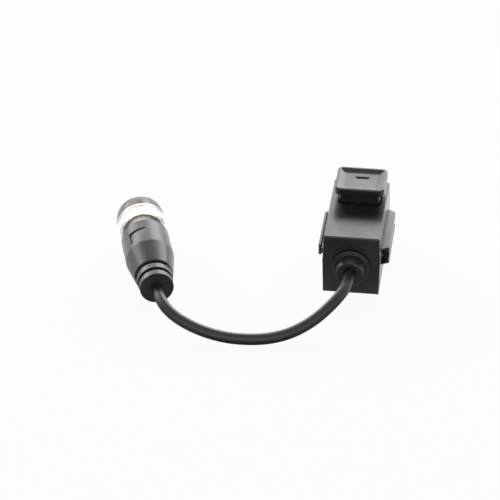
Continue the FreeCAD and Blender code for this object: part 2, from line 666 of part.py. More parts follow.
# Push button: dished cap, hollow stem with two retaining hooks, and a prong for each clamp
def make_release_button():
    body = new_body("release_button")

    def cap_rectangle(sketch, inset):
        rectangle(sketch, "%s + %s" % (CAP_LEFT, inset), "%s - %s" % (CAP_RIGHT, inset),
                  "cap_rear + " + inset, "cap_front - " + inset)

    cap = new_sketch(body, "XY_Plane", CAP_TOP + " - cap_thickness")
    rectangle(cap, CAP_LEFT, CAP_RIGHT, "cap_rear", "cap_front")
    pad(body, cap, "cap_thickness")
    blend_edges(body, "Fillet", "cap_corner", lambda middle, run: upright(run))
    cap_top = SIZE["case_height"] + SIZE["cap_rise"]
    blend_edges(body, "Chamfer", "cap_edge", lambda middle, run: near(middle.z, cap_top))
    brim = new_sketch(body, "XY_Plane", CAP_TOP)
    cap_rectangle(brim, "dish_rim")
    bed = new_sketch(body, "XY_Plane", CAP_TOP + " - dish_depth")
    cap_rectangle(bed, "(dish_rim + dish_slope)")
    loft_cut(body, brim, bed)
    stem_height = "%s - cap_thickness - (%s)" % (CAP_TOP, STEM_BOTTOM)
    stem = new_sketch(body, "XY_Plane", STEM_BOTTOM)
    cap_rectangle(stem, "stem_inset")
    pad(body, stem, stem_height + " + fit_gap")
    stem_half = SIZE["cap_width"] / 2 - SIZE["stem_inset"]

    def stem_corner(middle, run):
        return near(abs(middle.x - SIZE["cap_shift"]), stem_half) and upright(run)

    blend_edges(body, "Fillet", "stem_corner", stem_corner)
    hollow = new_sketch(body, "XY_Plane", STEM_BOTTOM)
    cap_rectangle(hollow, "(stem_inset + stem_wall)")
    pocket(body, hollow, stem_height, along_normal=True)
    hooks = new_sketch(body, "XY_Plane", STEM_BOTTOM)
    for rear, front in (("cap_front - stem_inset - stem_wall / 2", "cap_front - stem_inset + hook_reach"),
                        ("cap_rear + stem_inset - hook_reach", "cap_rear + stem_inset + stem_wall / 2")):
        rectangle(hooks, "cap_shift - hook_width / 2", "cap_shift + hook_width / 2", rear, front)
    pad(body, hooks, "hook_height")
    prongs = new_sketch(body, "XY_Plane", BOARD_TOP + " + prong_level")
    for way in ("way_plus", "way_minus"):
        rectangle(prongs, way + " - prong_width / 2", way + " + prong_width / 2", "prong_rear", "prong_front")
    pad(body, prongs, "%s - cap_thickness + fit_gap - (%s + prong_level)" % (CAP_TOP, BOARD_TOP))
    return body


# One terminal block: flanged body with a nose in the window, a funnel for the wire and an open clamp chamber
def make_terminal_block(label, way, left, right, nose_left, nose_right):
    body = new_body(label)
    inner_face = HALF_LENGTH + " - end_wall"
    nose_face = HALF_LENGTH + " - nose_recess"
    block = new_sketch(body, "XZ_Plane", "-(%s)" % inner_face)
    rectangle(block, left, right, BOARD_TOP, BOARD_TOP + " + block_height")
    pad(body, block, "block_depth")
    nose = new_sketch(body, "XZ_Plane", "-(%s)" % nose_face)
    rectangle(nose, nose_left, nose_right,
              MOUTH + " - window_drop + fit_gap", MOUTH + " + window_rise - fit_gap")
    pad(body, nose, "end_wall - nose_recess + fit_gap")
    throat = obround(new_sketch(body, "XZ_Plane", "-(%s)" % nose_face), way, MOUTH,
                     "(mouth_width - 2 * mouth_flare)", "(mouth_height - 2 * mouth_flare)")
    pocket(body, throat, "%s - chamber_front + embed" % nose_face, along_normal=True)
    nose_place = SIZE["case_length"] / 2 - SIZE["nose_recess"]
    mouth_height = SIZE["board_height"] + SIZE["board_thickness"] + SIZE["mouth_level"]

    def throat_rim(middle, run):
        off_way = math.hypot(middle.x - SIZE[way], middle.z - mouth_height)
        return near(middle.y, nose_place) and off_way < SIZE["mouth_height"] / 2 - SIZE["mouth_flare"] + 0.01

    funnel = blend_edges(body, "Chamfer", "mouth_flare", throat_rim)
    funnel.ChamferType = "Two distances"
    bind(funnel, "Size2", "mouth_depth")
    chamber = new_sketch(body, "XY_Plane", CHAMBER)
    rectangle(chamber, way + " - chamber_width / 2", way + " + chamber_width / 2",
              "chamber_rear", "chamber_front")
    pocket(body, chamber, along_normal=True)
    tail = new_sketch(body, "XY_Plane", CHAMBER)
    rectangle(tail, way + " + chamber_width / 2 - contact_thickness - fit_gap", way + " + chamber_width / 2",
              "contact_rear - fit_gap", "contact_front + fit_gap")
    pocket(body, tail)
    return body


# Contact: plate above the wire with one arm down through the board
def make_wire_contact(label, way):
    body = new_body(label)
    outer = way + " + chamber_width / 2 - run_gap"
    inner = way + " + chamber_width / 2 - run_gap - contact_thickness"
    far = way + " - chamber_width / 2 + fit_gap"
    profile = new_sketch(body, "XZ_Plane", "-contact_front")
    outline(profile, [
        (far, PLATE),
        (inner, PLATE),
        (inner, "board_height - contact_tail"),
        (outer, "board_height - contact_tail"),
        (outer, PLATE + " + contact_thickness"),
        (far, PLATE + " + contact_thickness"),
    ])
    pad(body, profile, "contact_front - contact_rear")
    return body


# Clamp spring: flat strip, folded back on itself, whose free leg presses the wire up to the contact
def make_clamp_spring(label, way):
    half_strip = SIZE["spring_thickness"] / 2
    bend = SIZE["spring_bend"]
    rise = math.radians(SIZE["spring_rise"])
    floor = SIZE["board_height"] + SIZE["board_thickness"] + SIZE["chamber_floor"] + half_strip
    across = SIZE[way]
    centre = Vector(across, SIZE["spring_bend_place"], floor + bend)
    leg = Vector(0, math.cos(rise), math.sin(rise))
    start = Vector(across, SIZE["contact_front"], floor)
    foot = Vector(across, centre.y, floor)
    back = centre + Vector(0, -math.cos(rise / 2), math.sin(rise / 2)) * bend
    top = centre + Vector(0, -leg.z, leg.y) * bend
    tip = top + leg * SIZE["spring_leg"]
    path = Part.Wire([
        Part.LineSegment(start, foot).toShape(),
        Part.Arc(foot, back, top).toShape(),
        Part.LineSegment(top, tip).toShape(),
    ])
    half = SIZE["spring_width"] / 2
    corners = [(-half, -half_strip), (half, -half_strip), (half, half_strip), (-half, half_strip)]
    ring = [start + Vector(side, 0, up) for side, up in corners]
    section = Part.makePolygon(ring + ring[:1])
    return shaped(label, path.makePipeShell([section], True, False))


# Circuit board with the holes for the leads
def make_circuit_board():
    body = new_body("circuit_board")
    plate = new_sketch(body, "XY_Plane", "board_height")
    rectangle(plate, "-board_width / 2", "board_width / 2", "board_rear", "board_front")
    pad(body, plate, "board_thickness")
    holes = new_sketch(body, "XY_Plane", BOARD_TOP)
    for way in ("way_plus", "way_minus"):
        edge = way + " + chamber_width / 2"
        rectangle(holes, edge + " - contact_thickness - fit_gap", edge,
                  "contact_rear - fit_gap", "contact_front + fit_gap")
    circle(holes, "0", "conductor_drop - " + HALF_LENGTH, "conductor_radius + fit_gap")
    circle(holes, "braid_shift", "braid_drop - " + HALF_LENGTH, "braid_radius + fit_gap")
    pocket(body, holes)
    return body


# Common-mode transformer: a toroid core with a bifilar winding of flat loops
def make_transformer():
    core = new_body("transformer_core")
    turned(core, [
        ("core_inner", "0"),
        ("core_outer", "0"),
        ("core_outer", "core_height"),
        ("core_inner", "core_height"),
    ], "XZ_Plane")
    place(core, None, "core_place", BOARD_TOP + " + wire_thickness + run_gap")
    winding = new_body("transformer_winding")
    winding.AllowCompound = True
    loop = new_sketch(winding, "XZ_Plane")
    for grow in ("run_gap", "run_gap + wire_thickness"):
        rectangle(loop, "core_inner - (%s)" % grow, "core_outer + %s" % grow,
                  "-(%s)" % grow, "core_height + %s" % grow)
    around(winding, pad(winding, loop, "wire_thickness", side="Symmetric"), "Z_Axis", "winding_turns")
    place(winding, None, "core_place", BOARD_TOP + " + wire_thickness + run_gap")


# Parts soldered on the board between the transformer and the terminals
def make_small_parts():
    half_case = "suppressor_width / 2"
    half_lead = "suppressor_width / 2 + suppressor_lead"
    middle = "suppressor_shift"
    front = "parts_rear + suppressor_depth"
    case = box("suppressor_case", "%s - %s" % (middle, half_case), "%s + %s" % (middle, half_case),
               "parts_rear", front, BOARD_TOP + " + run_gap", BOARD_TOP + " + suppressor_height")
    leads = box("suppressor_leads", "%s - (%s)" % (middle, half_lead), "%s + %s" % (middle, half_lead),
                "parts_rear + suppressor_depth / 4", front + " - suppressor_depth / 4",
                BOARD_TOP, BOARD_TOP + " + suppressor_height / 2")
    suppressor = doc.addObject("Part::Fuse", "surge_suppressor")
    suppressor.Base = case
    suppressor.Tool = leads
    piece(suppressor, "surge_suppressor")
    chips = []
    for step in range(3):
        left = "chip_shift + %d * chip_pitch" % step
        chips.append(box("chip", left, left + " + chip_width", "parts_rear", "parts_rear + chip_depth",
                         BOARD_TOP, BOARD_TOP + " + chip_height"))
    group = doc.addObject("Part::Compound", "chip_capacitors")
    group.Links = chips
    piece(group, "chip_capacitors")


# Cord gland: a flanged bush in the end wall with a stepped, tapered strain relief
def make_cord_gland():
    body = new_body("cord_gland")
    turned(body, [
        ("cord_radius", "end_wall + gland_flange_depth"),
        ("gland_flange", "end_wall + gland_flange_depth"),
        ("gland_flange", "end_wall"),
        ("gland_neck", "end_wall"),
        ("gland_neck", "0"),
        ("gland_disc", "0"),
        ("gland_disc", "-gland_disc_depth"),
        ("gland_root", "-gland_disc_depth"),
        ("gland_tip", "-gland_reach"),
        ("cord_radius", "-gland_reach"),
    ])
    place(body, None, "-" + HALF_LENGTH, "gland_height")


# The cord's end in the housing: jacket and dielectric, the bare conductor and the twisted braid
def make_coax_in_case():
    body = new_body("coax_end_in_case")
    turned(body, [
        ("0", "-gland_reach"),
        ("cord_radius", "-gland_reach"),
        ("cord_radius", "jacket_end"),
        ("dielectric_radius", "jacket_end"),
        ("dielectric_radius", "dielectric_end"),
        ("0", "dielectric_end"),
    ])
    place(body, None, "-" + HALF_LENGTH, "gland_height")
    wall = -SIZE["case_length"] / 2
    low = SIZE["board_height"] - SIZE["lead_tail"]
    axis = SIZE["gland_height"]
    braid_axis = axis + SIZE["braid_level"]
    leads = (
        ("coax_conductor", 0, axis, "dielectric_end", "conductor_drop", "conductor_radius"),
        ("braid_pigtail", SIZE["braid_shift"], braid_axis, "jacket_end", "braid_drop", "braid_radius"),
    )
    for label, across, level, start, drop, radius in leads:
        turn = SIZE["lead_bend"]
        points = [Vector(across, wall + SIZE[start], level), Vector(across, wall + SIZE[drop] - turn, level),
                  Vector(across, wall + SIZE[drop], level - turn), Vector(across, wall + SIZE[drop], low)]
        shaped(label, round_rod(Part.makePolygon(points), SIZE[radius]))


# Cord from the gland's front face to the plug's tail face
def make_cord():
    gland = Vector(0, -SIZE["case_length"] / 2 - SIZE["gland_reach"], SIZE["gland_height"])
    tail = Vector(SIZE["tail_across"], SIZE["tail_along"], SIZE["plug_height"])
    turn = math.radians(SIZE["plug_turn"])
    plug_axis = Vector(-math.sin(turn), math.cos(turn), 0)
    run = SIZE["exit_run"]
    points = [gland, gland - Vector(0, run, 0)]
    points += [Vector(*point) for point in CORD_ROUTE]
    points += [tail - plug_axis * run, tail]
    path, radii = rounded_path(points)
    cord = round_rod(path, SIZE["cord_radius"])
    print("cord length %.1f mm, arc radii %s" % (path.Length, ", ".join("%.1f" % radius for radius in radii)))
    section = math.pi * SIZE["cord_radius"] ** 2
    if abs(cord.Volume / (section * path.Length) - 1) > 0.01:
        raise RuntimeError("the cord's volume is not its section times its length")
    shaped("cord", cord)


# Plug boot: tail flange, rib and grooves, cone and barrel, with a bare recessed panel
def make_plug_boot():
    body = new_body("plug_boot")
    first = "tail_depth"
    second = "tail_depth + groove_width + rib_depth"
    turned(body, [
        ("cord_radius", "0"),
        ("tail_radius", "0"),
        ("tail_radius", first),
        ("groove_one", first),
        ("groove_one", first + " + groove_width"),
        ("rib_radius", first + " + groove_width"),
        ("rib_radius", second),
        ("groove_two", second),
        ("groove_two", second + " + groove_width"),
        ("cone_radius", second + " + groove_width"),
        ("barrel_radius", "barrel_start"),
        ("barrel_radius", "boot_length"),
        ("bushing_radius", "boot_length"),
        ("bushing_radius", "bushing_start"),
        ("ferrule_radius", "bushing_start"),
        ("ferrule_radius", "ferrule_start"),
        ("cord_radius", "ferrule_start"),
    ])
    panel = new_sketch(body, "XY_Plane", turn="panel_turn")
    rectangle(panel, "barrel_radius - panel_depth", "barrel_radius + embed", "panel_rear", "panel_front")
    groove = body.newObject("PartDesign::Groove", "panel")
    groove.Profile = panel
    groove.ReferenceAxis = (panel, ["V_Axis"])
    groove.Midplane = True
    bind(groove, "Angle", "panel_sweep")
    on_plug(body)


# What the boot hides: the cord's stripped end, its folded braid, the crimp ferrule and the bushing
def make_plug_rear():
    coax = new_body("coax_end_in_plug")
    turned(coax, [
        ("0", "0"),
        ("cord_radius", "0"),
        ("cord_radius", "jacket_cut"),
        ("dielectric_radius", "jacket_cut"),
        ("dielectric_radius", "pin_cup_start"),
        ("conductor_radius", "pin_cup_start"),
        ("conductor_radius", "pin_cup_start + pin_cup_depth - fit_gap"),
        ("0", "pin_cup_start + pin_cup_depth - fit_gap"),
    ])
    inner = "ferrule_radius - ferrule_wall"
    braid = new_body("folded_braid")
    turned(braid, [
        (inner + " - braid_wall", "stub_start"),
        (inner, "stub_start"),
        (inner, "bushing_start - fit_gap"),
        (inner + " - braid_wall", "bushing_start - fit_gap"),
    ])
    ferrule = new_body("crimp_ferrule")
    turned(ferrule, [
        ("cord_radius", "ferrule_start"),
        ("ferrule_radius", "ferrule_start"),
        ("ferrule_radius", "bushing_start - fit_gap"),
        (inner, "bushing_start - fit_gap"),
        (inner, "jacket_cut + ferrule_wall"),
        ("cord_radius", "jacket_cut"),
    ])
    bushing = new_body("rear_bushing")
    turned(bushing, [
        ("dielectric_radius + run_gap", "stub_start"),
        (inner + " - braid_wall", "stub_start"),
        (inner + " - braid_wall", "bushing_start"),
        ("bushing_radius", "bushing_start"),
        ("bushing_radius", "nut_start - run_gap"),
        ("bushing_bore", "nut_start - run_gap"),
        ("bushing_bore", "bushing_bore_start"),
        ("dielectric_radius + run_gap", "bushing_bore_start"),
    ])
    for body in (coax, braid, ferrule, bushing):
        on_plug(body)


# Plug front: body with its flange, slotted contact sleeve, insulator, centre pin and gasket
def make_plug_front():
    flange_front = "body_flange_start + body_flange_depth"
    seat = flange_front + " - sleeve_seat_depth"
    shell = new_body("plug_body")
    turned(shell, [
        ("body_bore", "bushing_bore_start + fit_gap"),
        ("bushing_bore", "bushing_bore_start + fit_gap"),
        ("bushing_bore", "nut_start - run_gap"),
        ("journal_radius", "nut_start - run_gap"),
        ("journal_radius", "body_flange_start"),
        ("body_flange", "body_flange_start"),
        ("body_flange", flange_front),
        ("sleeve_seat", flange_front),
        ("sleeve_seat", seat),
        ("body_bore", seat),
    ])
    sleeve = new_body("contact_sleeve")
    turned(sleeve, [
        ("body_bore", seat),
        ("sleeve_seat", seat),
        ("sleeve_seat", flange_front),
        ("gasket_seat", flange_front),
        ("gasket_seat", flange_front + " + gasket_depth"),
        ("sleeve_radius", flange_front + " + gasket_depth"),
        ("sleeve_radius", "sleeve_end"),
        ("sleeve_bore", "sleeve_end"),
        ("sleeve_bore", "insulator_step"),
        ("body_bore", "insulator_step"),
    ])
    slot = new_sketch(sleeve, "YZ_Plane", turn="sleeve_turn", about=Vector(1, 0, 0))
    rectangle(slot, "sleeve_slot_start", "sleeve_end + embed",
              "-sleeve_slot_width / 2", "sleeve_slot_width / 2")
    around(sleeve, pocket(sleeve, slot, "sleeve_radius + embed", along_normal=True), "Y_Axis", "sleeve_slots")
    insulator = new_body("insulator")
    turned(insulator, [
        ("pin_shank_radius", "insulator_start"),
        ("body_bore", "insulator_start"),
        ("body_bore", "insulator_step"),
        ("insulator_nose", "insulator_step"),
        ("insulator_nose", "insulator_end"),
        ("pin_shank_radius", "insulator_end"),
    ])
    pin = new_body("centre_pin")
    turned(pin, [
        ("conductor_radius + run_gap", "pin_cup_start"),
        ("pin_cup_radius", "pin_cup_start"),
        ("pin_cup_radius", "insulator_start"),
        ("pin_shank_radius", "insulator_start"),
        ("pin_shank_radius", "insulator_end"),
        ("pin_radius", "insulator_end"),
        ("pin_radius", "pin_straight_end"),
        ("pin_tip_radius", "pin_end"),
        ("0", "pin_end"),
        ("0", "pin_cup_start + pin_cup_depth"),
        ("conductor_radius + run_gap", "pin_cup_start + pin_cup_depth"),
    ])
    gasket = new_body("sealing_gasket")
    turned(gasket, [
        ("gasket_seat", flange_front),
        ("body_flange - run_gap", flange_front),
        ("body_flange - run_gap", flange_front + " + gasket_depth"),
        ("gasket_seat", flange_front + " + gasket_depth"),
    ])
    for body in (shell, sleeve, insulator, pin, gasket):
        on_plug(body)


# Thrust washer and bowed spring washer between the nut's lip and the body's flange
def make_washers():
    rear = "nut_start + nut_lip + run_gap"
    washer = new_body("thrust_washer")
    turned(washer, [
        ("journal_radius + fit_gap", rear),
        ("washer_radius", rear),
        ("washer_radius", rear + " + washer_thickness"),
        ("journal_radius + fit_gap", rear + " + washer_thickness"),
    ])
    on_plug(washer)
    room = "(body_flange_start - nut_start - nut_lip - washer_thickness - 3 * run_gap)"
    bow = "(wave_radius * wave_radius / (2 * (%s - wave_thickness)))" % room
    middle = "%s + washer_thickness + run_gap + %s" % (rear, bow)
    rolls = []
    for name, radius in (("bow_outer", bow), ("bow_inner", bow + " - wave_thickness")):
        roll = doc.addObject("Part::Cylinder", name)
        bind(roll, "Radius", radius)
        bind(roll, "Height", "2 * wave_radius")
        place(roll, None, middle, "-wave_radius")
        rolls.append(roll)
    discs = []
    for name, radius in (("disc", "wave_radius"), ("disc_hole", "journal_radius + journal_gap")):
        disc = doc.addObject("Part::Cylinder", name)
        disc.Placement = FreeCAD.Placement(Vector(), FreeCAD.Rotation(Vector(1, 0, 0), -90))
        bind(disc, "Radius", radius)
        bind(disc, "Height", "body_flange_start")
        discs.append(disc)
    rings = []
    for name, (base, tool) in (("bow", rolls), ("ring", discs)):
        cut = doc.addObject("Part::Cut", name)
        cut.Base = base
        cut.Tool = tool
        rings.append(cut)
    wave = doc.addObject("Part::Common", "wave_washer")
    wave.Base, wave.Tool = rings
    on_plug(piece(wave, "wave_washer"))


# Coupling nut: lipped shell with two bayonet slots, each a straight entry, a ramp and a detent hole
def make_coupling_nut():
    body = new_body("coupling_nut")
    front = "nut_start + nut_length"
    groove_end = "nut_groove_start + nut_groove_width"
    turned(body, [
        ("journal_radius + journal_gap", "nut_start"),
        ("nut_radius - nut_shoulder", "nut_start"),
        ("nut_radius", "nut_start + nut_shoulder_depth"),
        ("nut_radius", "nut_groove_start"),
        ("nut_radius - nut_groove_depth", "nut_groove_start + nut_groove_depth"),
        ("nut_radius - nut_groove_depth", groove_end + " - nut_groove_depth / 2"),
        ("nut_radius", groove_end),
        ("nut_radius", front + " - nut_band"),
        ("nut_radius - nut_taper", front),
        ("nut_bore", front),
        ("nut_bore", "nut_chamber_end"),
        ("nut_chamber", "nut_chamber_end"),
        ("nut_chamber", "nut_start + nut_lip"),
        ("journal_radius + journal_gap", "nut_start + nut_lip"),
    ], turn="nut_turn")
    entry = new_sketch(body, "XZ_Plane", "-(%s)" % front, "nut_turn", Vector(0, 0, -1))
    rectangle(entry, "nut_bore - embed", "lug_reach", "-lug_width / 2", "lug_width / 2")
    entry_depth = front + " - lug_level + lug_width / 2"
    around(body, pocket(body, entry, entry_depth, along_normal=True), "Y_Axis", "2")
    for inner, outer in (("nut_bore - embed", "lug_reach"), ("embed - nut_bore", "-lug_reach")):
        ramp = new_sketch(body, "XY_Plane", turn="nut_turn")
        rectangle(ramp, inner, outer, "lug_level - lug_width / 2", "lug_level + lug_width / 2")
        helix = body.newObject("PartDesign::SubtractiveHelix", "ramp")
        helix.Profile = ramp
        helix.ReferenceAxis = (ramp, ["V_Axis"])
        helix.Mode = 0
        helix.Reversed = True
        bind(helix, "Pitch", "4 * lug_rise")
        bind(helix, "Height", "lug_rise")
    side = new_sketch(body, "XY_Plane", turn="nut_turn")
    detent = circle(side, "0", "lug_level - lug_rise", "lug_hole")
    pocket(body, detent, side="Symmetric")
    on_plug(body)


def check_model():
    """Every object is sound, every cut removes material and every piece is one valid closed shape."""
    doc.recompute()
    for thing in doc.Objects:
        if "Invalid" in thing.State or "Error" in thing.State:
            raise RuntimeError("%s is %s" % (thing.Label, thing.State))
        if thing.TypeId in ("PartDesign::Pocket", "PartDesign::Groove", "PartDesign::SubtractiveLoft",
                            "PartDesign::SubtractiveHelix"):
            if thing.Shape.Volume > thing.BaseFeature.Shape.Volume - 0.001:
                owner = thing.getParentGeoFeatureGroup()
                raise RuntimeError("%s of %s cuts nothing" % (thing.Label, owner.Label))
    for label, thing in PIECES:
        if thing.Shape.isNull() or not thing.Shape.isValid() or not thing.Shape.Solids:
            raise RuntimeError("%s has no sound solid" % label)


make_lower_base()
make_upper_cover()
make_release_button()
make_terminal_block("terminal_block_grey", "way_plus",
                    "block_split", "window_shift + window_width / 2 + block_flange",
                    "block_split", "window_shift + window_width / 2 - fit_gap")
make_terminal_block("terminal_block_white", "way_minus",
                    "window_shift - window_width / 2 - block_flange", "block_split",
                    "window_shift - window_width / 2 + fit_gap", "block_split")
make_wire_contact("wire_contact_grey", "way_plus")
make_wire_contact("wire_contact_white", "way_minus")
make_clamp_spring("clamp_spring_grey", "way_plus")
make_clamp_spring("clamp_spring_white", "way_minus")
make_circuit_board()
make_transformer()
make_small_parts()
make_cord_gland()
make_coax_in_case()
make_cord()
make_plug_boot()
make_plug_rear()
make_plug_front()
make_washers()
make_coupling_nut()
check_model()

os.makedirs("parts", exist_ok=True)
for label, thing in PIECES:
    thing.Shape.exportStep("parts/%s.step" % label)
print("%d pieces written" % len(PIECES))
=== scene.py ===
"""Dressed model of a camera video balun: twin-shell terminal housing, short coax cord and BNC plug.

Metres, in the frame of the solid model: +Y from the cord end to the terminal end, +Z up.
"""
import math
import bmesh
import bpy
from bpy.props import FloatProperty, FloatVectorProperty, IntProperty, PointerProperty
from mathutils import Matrix, Vector


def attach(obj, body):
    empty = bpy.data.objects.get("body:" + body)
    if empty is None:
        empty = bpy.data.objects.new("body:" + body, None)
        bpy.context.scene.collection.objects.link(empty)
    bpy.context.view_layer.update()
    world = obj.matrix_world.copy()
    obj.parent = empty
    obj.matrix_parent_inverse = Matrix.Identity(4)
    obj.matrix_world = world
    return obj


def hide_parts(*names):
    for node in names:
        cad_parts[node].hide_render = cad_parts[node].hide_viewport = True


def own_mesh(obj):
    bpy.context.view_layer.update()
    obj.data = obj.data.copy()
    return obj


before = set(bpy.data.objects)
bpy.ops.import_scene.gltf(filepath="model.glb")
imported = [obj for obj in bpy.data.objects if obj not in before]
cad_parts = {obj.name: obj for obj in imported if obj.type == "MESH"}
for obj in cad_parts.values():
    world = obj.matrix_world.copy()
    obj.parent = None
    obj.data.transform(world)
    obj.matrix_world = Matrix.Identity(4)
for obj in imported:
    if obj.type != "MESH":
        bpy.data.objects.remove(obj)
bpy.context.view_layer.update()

bl_info = {
    "name": "Camera video balun",
    "version": (1, 0, 0),
    "blender": (4, 5, 0),
    "location": "3D View > Sidebar > Balun",
    "description": "Builds the dressed housing, cord and plug of a camera video balun",
    "category": "Object",
}

MM = 0.001

# The cord's control points, from the gland's front face to the plug's tail face, in millimetres
CORD_ROUTE = [
    (0.0, -21.25, 9.5),
    (0.0, -27.25, 9.5),
    (-2.8, -34.2, 8.3),
    (-8.3, -39.8, 4.8),
    (-14.5, -43.8, 2.5),
    (-20.9, -46.6, 1.8),
    (-27.9, -47.9, 1.8),
    (-35.0, -47.7, 2.1),
    (-42.8, -46.5, 3.6),
    (-50.1, -43.4, 5.8),
    (-54.336, -37.965, 7.3),
    (-56.0, -32.2, 7.3),
]
JACKET_COLOUR = (0.014, 0.014, 0.016)

# Plug axis: tail face centre, height and turn from +Y
PLUG_TAIL = Vector((-56.0, -32.2, 7.3)) * MM
PLUG_TURN = math.radians(16.1)
PLUG_PLACE = Matrix.Translation(PLUG_TAIL) @ Matrix.Rotation(PLUG_TURN, 4, "Z")

# Housing: end face at the cord, joint between the shells, and where the terminals' noses start
HOUSING_FRONT = -16.6 * MM
PARTING_HEIGHT = 11.0 * MM
NOSE_START = 15.2 * MM
GLAND_PLACE = Vector((0.0, -16.6, 9.5)) * MM

# Half outlines of the turned pieces, as (radius, along the axis) in millimetres
BOOT_OUTLINE = [
    (1.62, 0.0), (5.05, 0.0), (5.05, 2.3), (4.1, 2.3), (4.1, 3.35), (5.3, 3.35), (5.3, 5.6),
    (5.8, 6.75), (7.25, 15.6), (7.25, 27.2), (5.0, 27.2), (5.0, 18.0), (2.85, 18.0), (2.85, 9.0),
    (1.62, 9.0),
]
NECK_OUTLINE = [
    (1.0, 12.0), (2.1, 12.0), (2.1, 18.0), (5.0, 18.0), (5.0, 30.95), (3.6, 30.95), (3.6, 23.4),
    (1.0, 23.4),
]
GLAND_OUTLINE = [
    (1.62, -4.65), (3.95, -4.65), (4.75, -1.0), (5.7, -1.0), (5.7, 0.0), (4.1, 0.0), (4.1, 1.5),
    (5.0, 1.5), (5.0, 2.4), (1.62, 2.4),
]
GLAND_CORNER = 0.28 * MM
NECK_CORNER = 0.15 * MM

# Boot: recessed panel on the barrel, and the front groove with its two bridges. Sweeps are degrees
# about the plug's axis; the rest is in millimetres
BARREL_RADIUS = 7.25
PANEL_SWEEP = (94.3, 138.3)
PANEL_ENDS = (17.2, 22.9)
GROOVE_SWEEPS = ((46, 180), (226, 360))
GROOVE_RIM_RADIUS = 5.8
GROOVE_FLOOR = (5.75, 6.7)
GROOVE_MOUTH = ((5.2, 5.72), (6.2, 5.3), (6.2, 7.1), (5.65, 6.76))

# Button cap: centre, half sizes and corner radius; its outline from underside to dish floor, as
# (inset, drop) in millimetres
CAP_CENTRE = Vector((0.4, 8.275, 25.1)) * MM
CAP_HALF = Vector((7.55, 6.675, 0.0)) * MM
CAP_CORNER = 1.6 * MM
CAP_LEAST_CORNER = 0.5 * MM
CAP_CORNER_SHRINK = 0.7
CAP_UNDERSIDE = 23.0 * MM
CAP_OUTLINE = [
    (0.15, 2.10), (0.04, 2.06), (0.0, 1.95), (0.0, 0.40), (0.03, 0.25), (0.10, 0.13), (0.22, 0.04),
    (0.40, 0.0), (0.75, 0.0), (0.88, 0.015), (1.0, 0.055), (1.15, 0.13), (1.75, 0.475),
    (1.95, 0.58), (2.15, 0.66), (2.4, 0.72), (2.7, 0.745), (3.0, 0.75),
]

# The stem is cut off this far under the cap, and its closed end lifted into it
STEM_CUT = 0.02 * MM
STEM_LIFT = 0.07 * MM

# Cut mark: corners as shares of its half width and half height, how far the cutter stands above
# the dish floor and how much wider it is there
MARK_CORNERS = ((-0.8, -1), (0.8, -1), (1, 1), (-1, 1))
MARK_RISE = 0.2 * MM
MARK_FLARE = 0.12 * MM

# Lamps: name, place, width, height and the setting that holds the power
LAMPS = (
    ("back_light", (-0.25, 1.0, 0.47), 2.4, 0.74, "back_light"),
    ("left_light", (-0.86, 0.58, 0.38), 0.55, 0.55, "side_light"),
    ("right_light", (0.235, 0.82, 0.416), 0.65, 0.44, "side_light"),
)

# Stage: half the floor's side, how much of it the camera sees as plain white, and the ramps along
# which the mirrored floor, front and overhead light change
FLOOR_HALF = 4.0
WHITE_SHARE = 0.95
FLOOR_RAMP = (-0.03, 0.01)
FRONT_RAMP = (-0.7, -0.2)
OVERHEAD_RAMP = (0.3, 0.75)

# Tolerances of the mesh work
DOUBLES = 0.002 * MM
TURNED_DOUBLES = 0.0005 * MM
FLAT_ANGLE = math.radians(0.6)
SMOOTH_ANGLE = math.radians(32)

# Colours that more than one finish shares
TARNISH = (0.42, 0.34, 0.27)
SPRING_STEEL = (0.56, 0.56, 0.57)

# Sockets of the surface groups, as (name, socket type, default)
SURFACE_INPUTS = [
    ("Vector", "NodeSocketVector", None),
    ("Colour", "NodeSocketColor", (0.02, 0.02, 0.02, 1)),
    ("Roughness", "NodeSocketFloat", 0.4),
]
SURFACE_OUTPUTS = [
    ("Colour", "NodeSocketColor"),
    ("Roughness", "NodeSocketFloat"),
    ("Height", "NodeSocketFloat"),
]
PLATE_INPUTS = [
    ("Tarnish", "NodeSocketColor", (*TARNISH, 1)),
    ("Tarnish share", "NodeSocketFloat", 0.25),
    ("Rings per metre", "NodeSocketFloat", 6000.0),
]


# Settings shown in the panel


def length(name, description, default):
    return FloatProperty(name=name, description=description, default=default, unit="LENGTH",
                         precision=5)


def tint(name, description, default):
    return FloatVectorProperty(name=name, description=description, default=default,
                               subtype="COLOR", size=3, min=0, max=1)


def share(name, description, default):
    return FloatProperty(name=name, description=description, default=default, subtype="FACTOR",
                         min=0, max=1)


def number(name, description, default, unit="NONE"):
    return FloatProperty(name=name, description=description, default=default, unit=unit)


def spot(name, description, default):
    return FloatVectorProperty(name=name, description=description, default=default,
                               subtype="TRANSLATION")


class StageSettings(bpy.types.PropertyGroup):
    """Camera, floor and light"""
    floor_colour: tint("Floor colour", "Colour of the floor", (0.86, 0.86, 0.86))
    back_light: number("Back light", "Power of the large lamp behind the object", 13.5, "POWER")
    side_light: number("Side lights", "Power of each smaller lamp at the sides", 2.3, "POWER")
    ambient: number("Ambient", "Strength of the light from all round", 0.3)
    overhead: number("Overhead", "Strength of what is mirrored from above", 0.9)
    front_glow: number("Front glow", "Strength of what is mirrored from the front", 1.6)
    floor_glow: number("Floor glow", "Strength of the floor mirrored in the sides", 1.6)
    camera_place: spot("Camera place", "Where the camera stands", (0.06842, -0.7966, 0.5108))
    camera_target: spot("Camera target", "Where the camera looks", (-0.0328, 0.00352, 0.0))
    lens: number("Lens", "Focal length in millimetres", 225.1)


class CordSettings(bpy.types.PropertyGroup):
    """Coax cord"""
    radius: length("Cord radius", "Radius of the cord's jacket", 0.0017)
    colour: tint("Jacket colour", "Colour of the cord's jacket", JACKET_COLOUR)
    roughness: share("Jacket roughness", "Roughness of the cord's jacket", 0.34)


